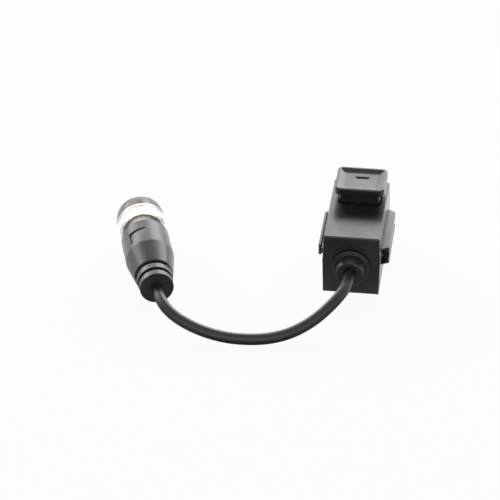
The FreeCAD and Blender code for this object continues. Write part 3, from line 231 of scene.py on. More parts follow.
class HousingSettings(bpy.types.PropertyGroup):
    """Lower and upper shell"""
    edge: length("Edge round", "Round on the shells' outer edges", 0.0003)
    front_edge: length("Front edge round", "Round on the outline of the cord's end face", 0.00045)
    seam: length("Seam round", "Round along the joint between the shells", 0.00006)
    colour: tint("Shell colour", "Colour of the moulded shells", (0.013, 0.013, 0.014))
    roughness: share("Shell roughness", "Roughness of the moulded shells", 0.3)
    grain: length("Grain size", "Size of the moulded grain", 0.00022)


class ButtonSettings(bpy.types.PropertyGroup):
    """Push button and the cut mark in its dish"""
    mark_width: length("Mark width", "Length of the cut mark in the dish", 0.0041)
    mark_height: length("Mark height", "Height of the cut mark in the dish", 0.0014)
    mark_depth: length("Mark depth", "Depth of the cut mark", 0.0004)
    mark_across: length("Mark place across", "Mark centre, across", 0.0006)
    mark_along: length("Mark place along", "Mark centre, along the housing", 0.0099)
    colour: tint("Button colour", "Colour of the push button", (0.015, 0.015, 0.016))


class PlugSettings(bpy.types.PropertyGroup):
    """Boot and metal of the plug"""
    corner: length("Boot corners", "Round on the boot's corners", 0.00015)
    segments: IntProperty(name="Segments", description="Facets round the turned pieces",
                          default=96, min=24)
    panel_depth: length("Panel depth", "Depth of the recessed panel", 0.00045)
    groove_depth: length("Groove depth", "Depth of the bridged groove", 0.0014)
    boot_colour: tint("Boot colour", "Colour of the moulded boot", (0.026, 0.026, 0.028))
    boot_roughness: share("Boot roughness", "Roughness of the moulded boot", 0.32)
    metal_colour: tint("Plating colour", "Colour of the nickel plate", (0.92, 0.89, 0.85))
    metal_roughness: share("Plating roughness", "Roughness of the nickel plate", 0.27)
    ring_size: length("Turning marks", "Spacing of the fine turning marks", 0.00016)


# Shader building blocks


def add_node(tree, kind, **values):
    """New node with its settings."""
    node = tree.nodes.new(kind)
    for name, value in values.items():
        setattr(node, name, value)
    return node


def feed(tree, value, socket):
    """Link a socket to its source, or set it where the value is plain."""
    if isinstance(value, bpy.types.NodeSocket):
        tree.links.new(value, socket)
    else:
        socket.default_value = value


def new_group(name, kind, inputs, outputs):
    """Empty node group with named sockets, and its input and output nodes."""
    group = bpy.data.node_groups.new(name, kind)
    for title, socket_type, default in inputs:
        socket = group.interface.new_socket(title, in_out="INPUT", socket_type=socket_type)
        if default is not None:
            socket.default_value = default
    for title, socket_type in outputs:
        group.interface.new_socket(title, in_out="OUTPUT", socket_type=socket_type)
    return group, add_node(group, "NodeGroupInput"), add_node(group, "NodeGroupOutput")


def surface_group(name, settings):
    """Empty shader group with the sockets that all surfaces share and its own settings."""
    return new_group(name, "ShaderNodeTree", SURFACE_INPUTS + settings, SURFACE_OUTPUTS)


def blend_colours(tree, share_from, first, second):
    """Mix of two colour sockets by a share."""
    mix = add_node(tree, "ShaderNodeMix", data_type="RGBA")
    for source, socket in ((share_from, "Factor"), (first, "A"), (second, "B")):
        tree.links.new(source, mix.inputs[socket])
    return mix.outputs["Result"]


def spread(tree, value, low, high, to_low, to_high):
    """Map Range: low to high becomes to_low to to_high."""
    node = add_node(tree, "ShaderNodeMapRange")
    for title, source in (("Value", value), ("From Min", low), ("From Max", high),
                          ("To Min", to_low), ("To Max", to_high)):
        feed(tree, source, node.inputs[title])
    return node.outputs["Result"]


def arithmetic(tree, operation, *values):
    """Math node on one or more values."""
    node = add_node(tree, "ShaderNodeMath", operation=operation)
    for value, socket in zip(values, node.inputs):
        feed(tree, value, socket)
    return node.outputs["Value"]


def noise(tree, vector, scale, detail=2.0, roughness=0.5):
    """Noise texture at a place."""
    node = add_node(tree, "ShaderNodeTexNoise")
    for title, value in (("Vector", vector), ("Scale", scale), ("Detail", detail),
                         ("Roughness", roughness)):
        feed(tree, value, node.inputs[title])
    return node.outputs["Fac"]


def scaled_place(tree, vector, factors):
    """Place with each coordinate multiplied by its factor."""
    node = add_node(tree, "ShaderNodeVectorMath", operation="MULTIPLY")
    tree.links.new(vector, node.inputs[0])
    node.inputs[1].default_value = factors
    return node.outputs["Vector"]


def split_place(tree, vector):
    """Sockets X, Y and Z of a place."""
    node = add_node(tree, "ShaderNodeSeparateXYZ")
    tree.links.new(vector, node.inputs["Vector"])
    return node.outputs


def axis_radius(tree, vector):
    """Distance of a place from the piece's own Y axis."""
    node = add_node(tree, "ShaderNodeVectorMath", operation="LENGTH")
    tree.links.new(scaled_place(tree, vector, (1, 0, 1)), node.inputs[0])
    return node.outputs["Value"]


def moulded_group():
    """Spark-eroded grain of a moulding: fine pits, slow flow tone and sparse dust."""
    known = bpy.data.node_groups.get("Moulded grain")
    if known:
        return known
    group, given, result = surface_group("Moulded grain", [
        ("Grain per metre", "NodeSocketFloat", 4500.0),
        ("Tone spread", "NodeSocketFloat", 0.2),
        ("Dust", "NodeSocketFloat", 0.3),
    ])
    links = group.links
    place = given.outputs["Vector"]
    pits = noise(group, place, given.outputs["Grain per metre"], detail=3.0, roughness=0.6)
    flow = noise(group, place, 160.0)
    less = arithmetic(group, "SUBTRACT", 1.0, given.outputs["Tone spread"])
    more = arithmetic(group, "ADD", 1.0, given.outputs["Tone spread"])
    toned = add_node(group, "ShaderNodeVectorMath", operation="SCALE")
    links.new(given.outputs["Colour"], toned.inputs[0])
    links.new(spread(group, flow, 0.3, 0.7, less, more), toned.inputs["Scale"])
    specks = add_node(group, "ShaderNodeTexVoronoi")
    specks.inputs["Scale"].default_value = 620.0
    links.new(place, specks.inputs["Vector"])
    dusty = spread(group, specks.outputs["Distance"], 0.05, 0.09, given.outputs["Dust"], 0.0)
    dust = add_node(group, "ShaderNodeRGB")
    dust.outputs[0].default_value = (0.07, 0.07, 0.068, 1)
    links.new(blend_colours(group, dusty, toned.outputs["Vector"], dust.outputs[0]),
              result.inputs["Colour"])
    rough = arithmetic(group, "ADD", given.outputs["Roughness"],
                       spread(group, pits, 0.3, 0.7, -0.05, 0.05))
    rough = arithmetic(group, "ADD", rough, spread(group, flow, 0.3, 0.7, -0.03, 0.03))
    links.new(rough, result.inputs["Roughness"])
    links.new(pits, result.inputs["Height"])
    return group


def plated_group():
    """Lathe-turned and plated metal: fine rings about the piece's Y axis and soft tarnish."""
    known = bpy.data.node_groups.get("Turned plate")
    if known:
        return known
    group, given, result = surface_group("Turned plate", PLATE_INPUTS)
    links = group.links
    place = given.outputs["Vector"]
    rings_at = add_node(group, "ShaderNodeCombineXYZ")
    links.new(arithmetic(group, "MULTIPLY", split_place(group, place)["Y"],
                         given.outputs["Rings per metre"]), rings_at.inputs["Y"])
    rings = noise(group, rings_at.outputs["Vector"], 1.0, detail=3.0)
    haze = noise(group, place, 240.0, detail=4.0)
    tarnished = arithmetic(group, "MULTIPLY", spread(group, haze, 0.42, 0.72, 0.0, 1.0),
                           given.outputs["Tarnish share"])
    links.new(blend_colours(group, tarnished, given.outputs["Colour"], given.outputs["Tarnish"]),
              result.inputs["Colour"])
    rough = arithmetic(group, "ADD", given.outputs["Roughness"],
                       spread(group, rings, 0.3, 0.7, -0.05, 0.06))
    rough = arithmetic(group, "ADD", rough, spread(group, haze, 0.4, 0.7, 0.0, 0.08))
    links.new(rough, result.inputs["Roughness"])
    links.new(rings, result.inputs["Height"])
    return group


def painted_reflection_group():
    """Turned plate with a painted dark reflection band outside one end, painted reflection streaks
    in it and a painted shade line along a groove.
    """
    known = bpy.data.node_groups.get("Banded plate")
    if known:
        return known
    group, given, result = surface_group("Banded plate", PLATE_INPUTS + [
        # Band is the colour of the painted dark reflection on the band, also used for the painted
        # shade in the groove
        ("Band", "NodeSocketColor", (0.042, 0.034, 0.027, 1)),
        ("Band start", "NodeSocketFloat", 0.0364),
        ("Groove middle", "NodeSocketFloat", 0.0351),
        ("Groove half width", "NodeSocketFloat", 0.00045),
        ("Outer radius", "NodeSocketFloat", 0.00685),
    ])
    links = group.links
    base = add_node(group, "ShaderNodeGroup")
    base.node_tree = plated_group()
    for title, *rest in SURFACE_INPUTS + PLATE_INPUTS:
        links.new(given.outputs[title], base.inputs[title])
    place = given.outputs["Vector"]
    along = split_place(group, place)["Y"]
    # Painted light: a dark reflection band from Band start on, and painted shade along the groove
    past_start = arithmetic(group, "SUBTRACT", along, given.outputs["Band start"])
    band = spread(group, past_start, 0.0, 0.00012, 0.0, 1.0)
    off_groove = arithmetic(group, "SUBTRACT", along, given.outputs["Groove middle"])
    inside = arithmetic(group, "SUBTRACT", given.outputs["Groove half width"],
                        arithmetic(group, "ABSOLUTE", off_groove))
    groove = spread(group, inside, 0.0, 0.0001, 0.0, 0.93)
    # Painted reflection streaks that lighten the band a little, only outside the outer radius
    reflection_streaks = noise(group, scaled_place(group, place, (1, 0.12, 1)), 420.0, detail=3.0)
    past_radius = arithmetic(group, "SUBTRACT", axis_radius(group, place),
                             given.outputs["Outer radius"])
    # Share of painted reflection and painted shade in the colour
    painted_dark_share = arithmetic(group, "MAXIMUM", band, groove)
    for part in (spread(group, reflection_streaks, 0.38, 0.6, 0.93, 1.0),
                 spread(group, past_radius, 0.0, 0.0001, 0.0, 1.0)):
        painted_dark_share = arithmetic(group, "MULTIPLY", painted_dark_share, part)
    links.new(blend_colours(group, painted_dark_share, base.outputs["Colour"], given.outputs["Band"]),
              result.inputs["Colour"])
    for title in ("Roughness", "Height"):
        links.new(base.outputs[title], result.inputs[title])
    return group


def coax_group():
    """Cut cord end: dark jacket outside a radius about the Y axis, pale dielectric inside it."""
    known = bpy.data.node_groups.get("Coax section")
    if known:
        return known
    group, given, result = surface_group("Coax section", [
        ("Core", "NodeSocketColor", (0.8, 0.8, 0.78, 1)),
        ("Core radius", "NodeSocketFloat", 0.0012),
    ])
    links = group.links
    place = given.outputs["Vector"]
    beyond = arithmetic(group, "SUBTRACT", axis_radius(group, place), given.outputs["Core radius"])
    core = spread(group, beyond, -0.00005, 0.00005, 1.0, 0.0)
    links.new(blend_colours(group, core, given.outputs["Colour"], given.outputs["Core"]),
              result.inputs["Colour"])
    cloud = noise(group, place, 900.0)
    rough = arithmetic(group, "ADD", given.outputs["Roughness"],
                       spread(group, cloud, 0.3, 0.7, -0.04, 0.04))
    links.new(rough, result.inputs["Roughness"])
    links.new(cloud, result.inputs["Height"])
    return group


def material(name, group, colour, roughness, bump, axis=None, shader_values=(), **settings):
    """Principled material fed by a surface group, which is centred on an axis if one is given."""
    made = bpy.data.materials.new(name + "_finish")
    made.use_nodes = True
    tree = made.node_tree
    tree.nodes.clear()
    place = add_node(tree, "ShaderNodeTexCoord").outputs["Object"]
    if axis:
        turn = add_node(tree, "ShaderNodeMapping", vector_type="TEXTURE")
        turn.inputs["Location"].default_value = axis[0]
        turn.inputs["Rotation"].default_value = (0, 0, axis[1])
        tree.links.new(place, turn.inputs["Vector"])
        place = turn.outputs["Vector"]
    effect = add_node(tree, "ShaderNodeGroup")
    effect.node_tree = group
    tree.links.new(place, effect.inputs["Vector"])
    effect.inputs["Colour"].default_value = (*colour, 1)
    effect.inputs["Roughness"].default_value = roughness
    for setting, value in settings.items():
        effect.inputs[setting.replace("_", " ").capitalize()].default_value = value
    shader = add_node(tree, "ShaderNodeBsdfPrincipled")
    for socket, value in shader_values:
        shader.inputs[socket].default_value = value
    relief = add_node(tree, "ShaderNodeBump")
    relief.inputs["Distance"].default_value = bump
    relief.inputs["Strength"].default_value = 0.6
    out = add_node(tree, "ShaderNodeOutputMaterial")
    for source, socket, target, entry in (
            (effect, "Colour", shader, "Base Color"), (effect, "Roughness", shader, "Roughness"),
            (effect, "Height", relief, "Height"), (relief, "Normal", shader, "Normal"),
            (shader, "BSDF", out, "Surface")):
        tree.links.new(source.outputs[socket], target.inputs[entry])
    return made


def plastic(name, colour, roughness, grain=0.00022, bump=0.000006, dust=0.25, tone=0.18, ior=1.5):
    """Moulded plastic or other matt finish."""
    return material(name, moulded_group(), colour, roughness, bump, shader_values=[("IOR", ior)],
                    grain_per_metre=1 / grain, tone_spread=tone, dust=dust)


def plate(name, colour, roughness, tarnish=TARNISH, ring=0.00016, share_of=0.25, painted_reflection=False):
    """Plated or bare metal; share_of is how much of it the tarnish takes; the last flag adds a
    painted dark reflection band and painted groove shade.
    """
    group = painted_reflection_group() if painted_reflection else plated_group()
    return material(name, group, colour, roughness, 0.0000015, axis=(PLUG_TAIL, PLUG_TURN),
                    shader_values=[("Metallic", 1.0)], rings_per_metre=1 / ring,
                    tarnish=(*tarnish, 1), tarnish_share=share_of)


def coax(name, place, turn):
    """Cut cord end about an axis."""
    return material(name, coax_group(), JACKET_COLOUR, 0.35, 0.000002, axis=(place, turn))


# Mesh building blocks


def link_mesh(name, mesh):
    """Put a mesh into the scene as an object of that name."""
    thing = bpy.data.objects.new(name, mesh)
    bpy.context.scene.collection.objects.link(thing)
    return thing


def link_form(name, form):
    """Turn a bmesh into an object of that name."""
    mesh = bpy.data.meshes.new(name)
    form.to_mesh(mesh)
    form.free()
    return link_mesh(name, mesh)


def finished(name, form, finish):
    """Turn a bmesh into a piece with its material."""
    piece = link_form(name, form)
    piece.data.materials.append(finish)
    return piece


def merged_copy(node):
    """Closed copy of a solid's mesh: doubles merged and flat facets joined."""
    form = bmesh.new()
    form.from_mesh(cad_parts[node].data)
    bmesh.ops.remove_doubles(form, verts=form.verts, dist=DOUBLES)
    bmesh.ops.dissolve_limit(form, angle_limit=FLAT_ANGLE, verts=form.verts, edges=form.edges)
    return form


def soften(form, width, least=35.0, wanted=None, steps=3):
    """Round the outward edges sharper than an angle in degrees whose middle passes the test."""
    chosen = []
    for edge in form.edges:
        if len(edge.link_faces) != 2 or edge.calc_face_angle_signed(0.0) <= math.radians(least):
            continue
        if wanted is None or wanted((edge.verts[0].co + edge.verts[1].co) / 2):
            chosen.append(edge)
    bmesh.ops.bevel(form, geom=chosen, offset=width, offset_type="OFFSET", segments=steps,
                    profile=0.5, affect="EDGES", clamp_overlap=False)


def skin(form, rings):
    """Faces between rings of as many vertices each, and over both ends."""
    count = len(rings[0])
    for low, high in zip(rings, rings[1:]):
        for i in range(count):
            j = (i + 1) % count
            form.faces.new((low[i], low[j], high[j], high[i]))
    form.faces.new(rings[0][::-1])
    form.faces.new(rings[-1])


def shade(piece):
    """Smooth shading up to an angle, led by the larger faces."""
    piece.data.shade_smooth()
    piece.data.set_sharp_from_angle(angle=SMOOTH_ANGLE)
    level = piece.modifiers.new("even_shading", "WEIGHTED_NORMAL")
    level.keep_sharp = True


def adopt(piece, body, node):
    """Shade a piece, put it on its body and hide the solid it stands for."""
    if piece.type == "MESH":
        shade(piece)
    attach(piece, body)
    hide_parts(node)


def evaluated_mesh(thing):
    """Plain mesh of an object with its modifiers applied."""
    bpy.context.view_layer.update()
    graph = bpy.context.evaluated_depsgraph_get()
    return bpy.data.meshes.new_from_object(thing.evaluated_get(graph))


def cut(piece, cutter):
    """Exact boolean difference, applied; the cutter goes."""
    step = piece.modifiers.new("cut", "BOOLEAN")
    step.operation = "DIFFERENCE"
    step.solver = "EXACT"
    step.object = cutter
    mesh = evaluated_mesh(piece)
    piece.modifiers.remove(step)
    piece.data = mesh
    bpy.data.objects.remove(cutter)


def coat(node, finish):
    """Give a solid that stays its own material."""
    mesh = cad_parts[node].data
    mesh.materials.clear()
    mesh.materials.append(finish)


# Geometry Nodes: a piece turned from its half outline


def turned_tree():
    """Round the outline's corners, turn it about the hub and set its material."""
    known = bpy.data.node_groups.get("Turned piece")
    if known:
        return known
    inputs = (
        ("Outline", "NodeSocketGeometry", None),
        ("Hub radius", "NodeSocketFloat", 0.001),
        ("Corner radius", "NodeSocketFloat", 0.0002),
        ("Corner steps", "NodeSocketInt", 3),
        ("Segments", "NodeSocketInt", 96),
        ("Material", "NodeSocketMaterial", None),
    )
    outputs = (("Piece", "NodeSocketGeometry"),)
    tree, given, result = new_group("Turned piece", "GeometryNodeTree", inputs, outputs)
    line = add_node(tree, "GeometryNodeMeshToCurve")
    corners = add_node(tree, "GeometryNodeFilletCurve", mode="POLY")
    corners.inputs["Limit Radius"].default_value = True
    hub = add_node(tree, "GeometryNodeCurvePrimitiveCircle")
    turn = add_node(tree, "GeometryNodeCurveToMesh")
    real = add_node(tree, "GeometryNodeRealizeInstances")
    paint = add_node(tree, "GeometryNodeSetMaterial")
    for source, socket, target, entry in (
            (given, "Outline", line, "Mesh"), (line, "Curve", corners, "Curve"),
            (given, "Corner radius", corners, "Radius"), (given, "Corner steps", corners, "Count"),
            (given, "Hub radius", hub, "Radius"), (given, "Segments", hub, "Resolution"),
            (hub, "Curve", turn, "Curve"), (corners, "Curve", turn, "Profile Curve"),
            (turn, "Mesh", real, "Geometry"), (real, "Geometry", paint, "Geometry"),
            (given, "Material", paint, "Material"), (paint, "Geometry", result, "Piece")):
        tree.links.new(source.outputs[socket], target.inputs[entry])
    return tree


def turned_piece(name, outline, corner, segments, finish, place):
    """Plain mesh turned from a half outline about its own +Y, put in its place."""
    hub = outline[0][0] * MM
    points = [(radius * MM - hub, -along * MM, 0) for radius, along in reversed(outline)]
    line = bpy.data.meshes.new(name + "_outline")
    line.from_pydata(points, [(i, (i + 1) % len(points)) for i in range(len(points))], [])
    carrier = link_mesh(name + "_outline", line)
    step = carrier.modifiers.new("turned", "NODES")
    step.node_group = turned_tree()
    keys = {item.name: item.identifier for item in step.node_group.interface.items_tree
            if item.in_out == "INPUT"}
    for title, value in (("Hub radius", hub), ("Corner radius", corner), ("Segments", segments),
                         ("Material", finish)):
        step[keys[title]] = value
    mesh = evaluated_mesh(carrier)
    bpy.data.objects.remove(carrier)
    mesh.transform(place @ Matrix.Rotation(math.radians(-90), 4, "X"))
    form = bmesh.new()
    form.from_mesh(mesh)
    bpy.data.meshes.remove(mesh)
    bmesh.ops.remove_doubles(form, verts=form.verts, dist=TURNED_DOUBLES)
    if form.calc_volume(signed=True) < 0:
        bmesh.ops.reverse_faces(form, faces=form.faces)
    return finished(name, form, finish)


# Operators


class BALUN_OT_stage(bpy.types.Operator):
    """Camera, pale floor and soft studio light"""
    bl_idname = "balun.stage"
    bl_label = "Stage"

    def execute(self, context):
        sizes = context.scene.balun_stage
        data = bpy.data.cameras.new("camera")
        data.lens = sizes.lens
        data.sensor_width = 36
        data.clip_start = 0.05
        data.clip_end = 20
        camera = bpy.data.objects.new("camera", data)
        camera.location = sizes.camera_place
        look = Vector(sizes.camera_target) - Vector(sizes.camera_place)
        camera.rotation_euler = look.to_track_quat("-Z", "Y").to_euler()
        context.scene.collection.objects.link(camera)
        context.scene.camera = camera
        context.scene.view_settings.view_transform = "Standard"
        self.lay_floor(sizes)
        self.light_world(context.scene, sizes)
        for name, place, width, height, power in LAMPS:
            self.hang_lamp(name, place, width, height, getattr(sizes, power))
        return {"FINISHED"}

    def hang_lamp(self, name, place, width, height, power):
        """Rectangular soft lamp that faces the object."""
        lamp = bpy.data.lights.new(name, "AREA")
        lamp.shape = "RECTANGLE"
        lamp.size = width
        lamp.size_y = height
        lamp.energy = power
        holder = bpy.data.objects.new(name, lamp)
        holder.location = place
        holder.rotation_euler = (-holder.location).to_track_quat("-Z", "Y").to_euler()
        bpy.context.scene.collection.objects.link(holder)

    def lay_floor(self, sizes):
        """Paper that takes the shadow, white to the camera and in reflections behind the object."""
        mesh = bpy.data.meshes.new("floor")
        corners = ((-1, -1), (1, -1), (1, 1), (-1, 1))
        mesh.from_pydata([(x * FLOOR_HALF, y * FLOOR_HALF, 0) for x, y in corners], [],
                         [(0, 1, 2, 3)])
        floor = link_mesh("floor", mesh)
        finish = bpy.data.materials.new("floor_paint")
        finish.use_nodes = True
        tree = finish.node_tree
        tree.nodes.clear()
        paper = add_node(tree, "ShaderNodeBsdfDiffuse")
        paper.inputs["Color"].default_value = (*sizes.floor_colour, 1)
        rays = add_node(tree, "ShaderNodeLightPath").outputs
        place = add_node(tree, "ShaderNodeTexCoord").outputs["Object"]
        behind = spread(tree, split_place(tree, place)["Y"], *FLOOR_RAMP, 0.0, 1.0)
        mirrored = arithmetic(tree, "MULTIPLY", rays["Is Glossy Ray"], behind)
        seen = arithmetic(tree, "MULTIPLY", rays["Is Camera Ray"], WHITE_SHARE)
        white = add_node(tree, "ShaderNodeEmission")
        white.inputs["Color"].default_value = (1, 1, 1, 1)
        tree.links.new(spread(tree, rays["Is Glossy Ray"], 0.0, 1.0, 1.0, sizes.floor_glow),
                       white.inputs["Strength"])
        mix = add_node(tree, "ShaderNodeMixShader")
        tree.links.new(arithmetic(tree, "MAXIMUM", seen, mirrored), mix.inputs["Fac"])
        tree.links.new(paper.outputs["BSDF"], mix.inputs[1])
        tree.links.new(white.outputs["Emission"], mix.inputs[2])
        out = add_node(tree, "ShaderNodeOutputMaterial")
        tree.links.new(mix.outputs["Shader"], out.inputs["Surface"])
        mesh.materials.append(finish)

    def light_world(self, scene, sizes):
        """White to the camera; reflections have their own strength in front and overhead."""
        world = bpy.data.worlds.new("studio")
        world.use_nodes = True
        tree = world.node_tree
        tree.nodes.clear()
        way = split_place(tree, add_node(tree, "ShaderNodeTexCoord").outputs["Generated"])
        overhead = spread(tree, way["Z"], *OVERHEAD_RAMP, 1.0, sizes.overhead)
        front = spread(tree, way["Y"], *FRONT_RAMP, sizes.front_glow, 0.0)
        rays = add_node(tree, "ShaderNodeLightPath").outputs
        mirrored = arithmetic(tree, "MAXIMUM", rays["Is Glossy Ray"], rays["Is Transmission Ray"])
        mirrored = arithmetic(tree, "MULTIPLY", mirrored,
                              arithmetic(tree, "MAXIMUM", overhead, front))
        seen = arithmetic(tree, "MAXIMUM", rays["Is Camera Ray"], mirrored)
        sky = add_node(tree, "ShaderNodeBackground")
        sky.inputs["Color"].default_value = (1, 1, 1, 1)
        tree.links.new(arithmetic(tree, "MAXIMUM", seen, sizes.ambient), sky.inputs["Strength"])
        out = add_node(tree, "ShaderNodeOutputWorld")
        tree.links.new(sky.outputs["Background"], out.inputs["Surface"])
        scene.world = world


class BALUN_OT_cord(bpy.types.Operator):
    """Coax cord from the gland to the plug"""
    bl_idname = "balun.cord"
    bl_label = "Cord"

    def execute(self, context):
        sizes = context.scene.balun_cord
        curve = bpy.data.curves.new("coax_cord", "CURVE")
        curve.dimensions = "3D"
        curve.resolution_u = 24
        curve.bevel_depth = sizes.radius
        curve.bevel_resolution = 7
        curve.use_fill_caps = True
        spline = curve.splines.new("NURBS")
        spline.points.add(len(CORD_ROUTE) - 1)
        for point, place in zip(spline.points, CORD_ROUTE):
            point.co = (*(Vector(place) * MM), 1)
        spline.order_u = 3
        spline.use_endpoint_u = True
        cord = bpy.data.objects.new("coax_cord", curve)
        context.scene.collection.objects.link(cord)
        curve.materials.append(plastic("cord_jacket", sizes.colour, sizes.roughness, grain=0.00025,
                                       bump=0.0000004, dust=0.1))
        adopt(cord, "housing", "cord")
        return {"FINISHED"}


def outer_side(point):
    """On the shells' outside, off the joint between them."""
    return abs(point.z - PARTING_HEIGHT) > 0.4 * MM


def near_front(point, reach):
    """Within reach of the housing's end face at the cord, off the joint."""
    return point.y < HOUSING_FRONT + reach and outer_side(point)


class BALUN_OT_housing(bpy.types.Operator):
    """Lower and upper shell with their rails"""
    bl_idname = "balun.housing"
    bl_label = "Housing shells"

    def execute(self, context):
        sizes = context.scene.balun_housing
        finish = plastic("shell_plastic", sizes.colour, sizes.roughness, sizes.grain)
        rounds = (
            (sizes.front_edge, 35.0, 3, lambda point: near_front(point, 0.2 * MM)),
            (sizes.edge, 35.0, 3,
             lambda point: outer_side(point) and not near_front(point, 1.1 * MM)),
            (sizes.seam, 60.0, 2, lambda point: not outer_side(point)),
        )
        for node, name in (("lower_base", "lower_shell"), ("upper_cover", "upper_shell")):
            form = merged_copy(node)
            for width, least, steps, wanted in rounds:
                soften(form, width, least, wanted, steps)
            adopt(finished(name, form, finish), "housing", node)
        return {"FINISHED"}


def keep_below(form, level, lift):
    """Cut the form off at a level, close it there and lift the closed end a little."""
    geometry = [*form.verts, *form.edges, *form.faces]
    made = bmesh.ops.bisect_plane(form, geom=geometry, plane_co=(0, 0, level),
                                  plane_no=(0, 0, 1), clear_outer=True)
    rim = [item for item in made["geom_cut"] if isinstance(item, bmesh.types.BMEdge)]
    bmesh.ops.triangle_fill(form, edges=rim, use_beauty=True, use_dissolve=True)
    for vert in form.verts:
        if abs(vert.co.z - level) < DOUBLES / 2:
            vert.co.z += lift
    bmesh.ops.recalc_face_normals(form, faces=form.faces)


def loft_cap(form):
    """Add the cap as rounded rings from its underside, over the edge and down into the dish."""
    steps = 8
    rings = []
    for inset, drop in CAP_OUTLINE:
        corner = max(CAP_CORNER - CAP_CORNER_SHRINK * inset * MM, CAP_LEAST_CORNER)
        reach = [half - inset * MM - corner for half in CAP_HALF.xy]
        ring = []
        for quarter, (across, along) in enumerate(((1, 1), (-1, 1), (-1, -1), (1, -1))):
            for step in range(steps + 1):
                angle = math.radians(90 * (quarter + step / steps))
                ring.append(form.verts.new((
                    CAP_CENTRE.x + across * reach[0] + math.cos(angle) * corner,
                    CAP_CENTRE.y + along * reach[1] + math.sin(angle) * corner,
                    CAP_CENTRE.z - drop * MM)))
        rings.append(ring)
    skin(form, rings)


class BALUN_OT_button(bpy.types.Operator):
    """Dished push button with its cut mark"""
    bl_idname = "balun.button"
    bl_label = "Push button"

    def execute(self, context):
        sizes = context.scene.balun_button
        form = merged_copy("release_button")
        keep_below(form, CAP_UNDERSIDE - STEM_CUT, STEM_LIFT)
        loft_cap(form)
        button = finished("push_button", form, plastic("button_plastic", sizes.colour, 0.3))
        cut(button, self.mark(sizes))
        adopt(button, "button", "release_button")
        return {"FINISHED"}

    def mark(self, sizes):
        """Cutter for the mark in the dish, a little wider at its top."""
        dish = CAP_CENTRE.z - CAP_OUTLINE[-1][1] * MM
        half_width = sizes.mark_width / 2
        half_height = sizes.mark_height / 2
        form = bmesh.new()
        rings = []
        for level, grow in ((dish - sizes.mark_depth, 0.0), (dish + MARK_RISE, MARK_FLARE)):
            rings.append([form.verts.new((
                sizes.mark_across + side * half_width + math.copysign(grow, side),
                sizes.mark_along + rear * (half_height + grow), level))
                for side, rear in MARK_CORNERS])
        skin(form, rings)
        return link_form("mark", form)


class BALUN_OT_gland(bpy.types.Operator):
    """Stepped strain relief at the cord's end of the housing"""
    bl_idname = "balun.gland"
    bl_label = "Strain relief"

    def execute(self, context):
        finish = plastic("gland_plastic", (0.012, 0.012, 0.013), 0.3)
        gland = turned_piece("strain_relief", GLAND_OUTLINE, GLAND_CORNER,
                             context.scene.balun_plug.segments, finish,
                             Matrix.Translation(GLAND_PLACE))
        adopt(gland, "housing", "cord_gland")
        return {"FINISHED"}


class BALUN_OT_terminals(bpy.types.Operator):
    """Terminal blocks, contacts and clamp springs"""
    bl_idname = "balun.terminals"
    bl_label = "Terminals"

    def execute(self, context):
        ways = {"grey": (0.18, 0.19, 0.2), "white": (0.78, 0.79, 0.79)}
        for way, colour in ways.items():
            form = merged_copy("terminal_block_" + way)
            soften(form, 0.12 * MM, wanted=lambda point: point.y > NOSE_START)
            finish = plastic("terminal_" + way, colour, 0.38, dust=0.1, tone=0.06)
            adopt(finished(way + "_terminal", form, finish), "housing",
                  "terminal_block_" + way)
        tin = plate("tinned_strip", (0.74, 0.73, 0.7), 0.28)
        spring = plate("spring_strip", SPRING_STEEL, 0.24)
        for way in ways:
            coat("wire_contact_" + way, tin)
            clamp = finished(way + "_clamp", merged_copy("clamp_spring_" + way), spring)
            adopt(clamp, "housing", "clamp_spring_" + way)
            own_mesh(clamp)
        return {"FINISHED"}


class BALUN_OT_circuit(bpy.types.Operator):
    """Board, transformer, small parts and the cord's stripped end"""
    bl_idname = "balun.circuit"
    bl_label = "Circuit"

    def execute(self, context):
        copper = plate("enamelled_copper", (0.72, 0.34, 0.16), 0.3)
        tin = plate("tinned_braid", (0.72, 0.71, 0.69), 0.38, ring=0.0003)
        board = plastic("solder_mask", (0.015, 0.14, 0.05), 0.3, grain=0.0006, dust=0.1, tone=0.1)
        ferrite = plastic("ferrite", (0.04, 0.04, 0.043), 0.6, grain=0.0003, dust=0.4)
        black = plastic("black_component", (0.02, 0.02, 0.021), 0.5)
        ceramic = plastic("ceramic_component", (0.42, 0.3, 0.19), 0.5, tone=0.1)
        for node, finish in (
                ("circuit_board", board), ("transformer_core", ferrite),
                ("transformer_winding", copper), ("surge_suppressor", black),
                ("chip_capacitors", ceramic), ("coax_conductor", copper),
                ("braid_pigtail", tin), ("folded_braid", tin),
                ("coax_end_in_case", coax("coax_end_in_case", GLAND_PLACE, 0.0)),
                ("coax_end_in_plug", coax("coax_end_in_plug", PLUG_TAIL, PLUG_TURN))):
            coat(node, finish)
        return {"FINISHED"}


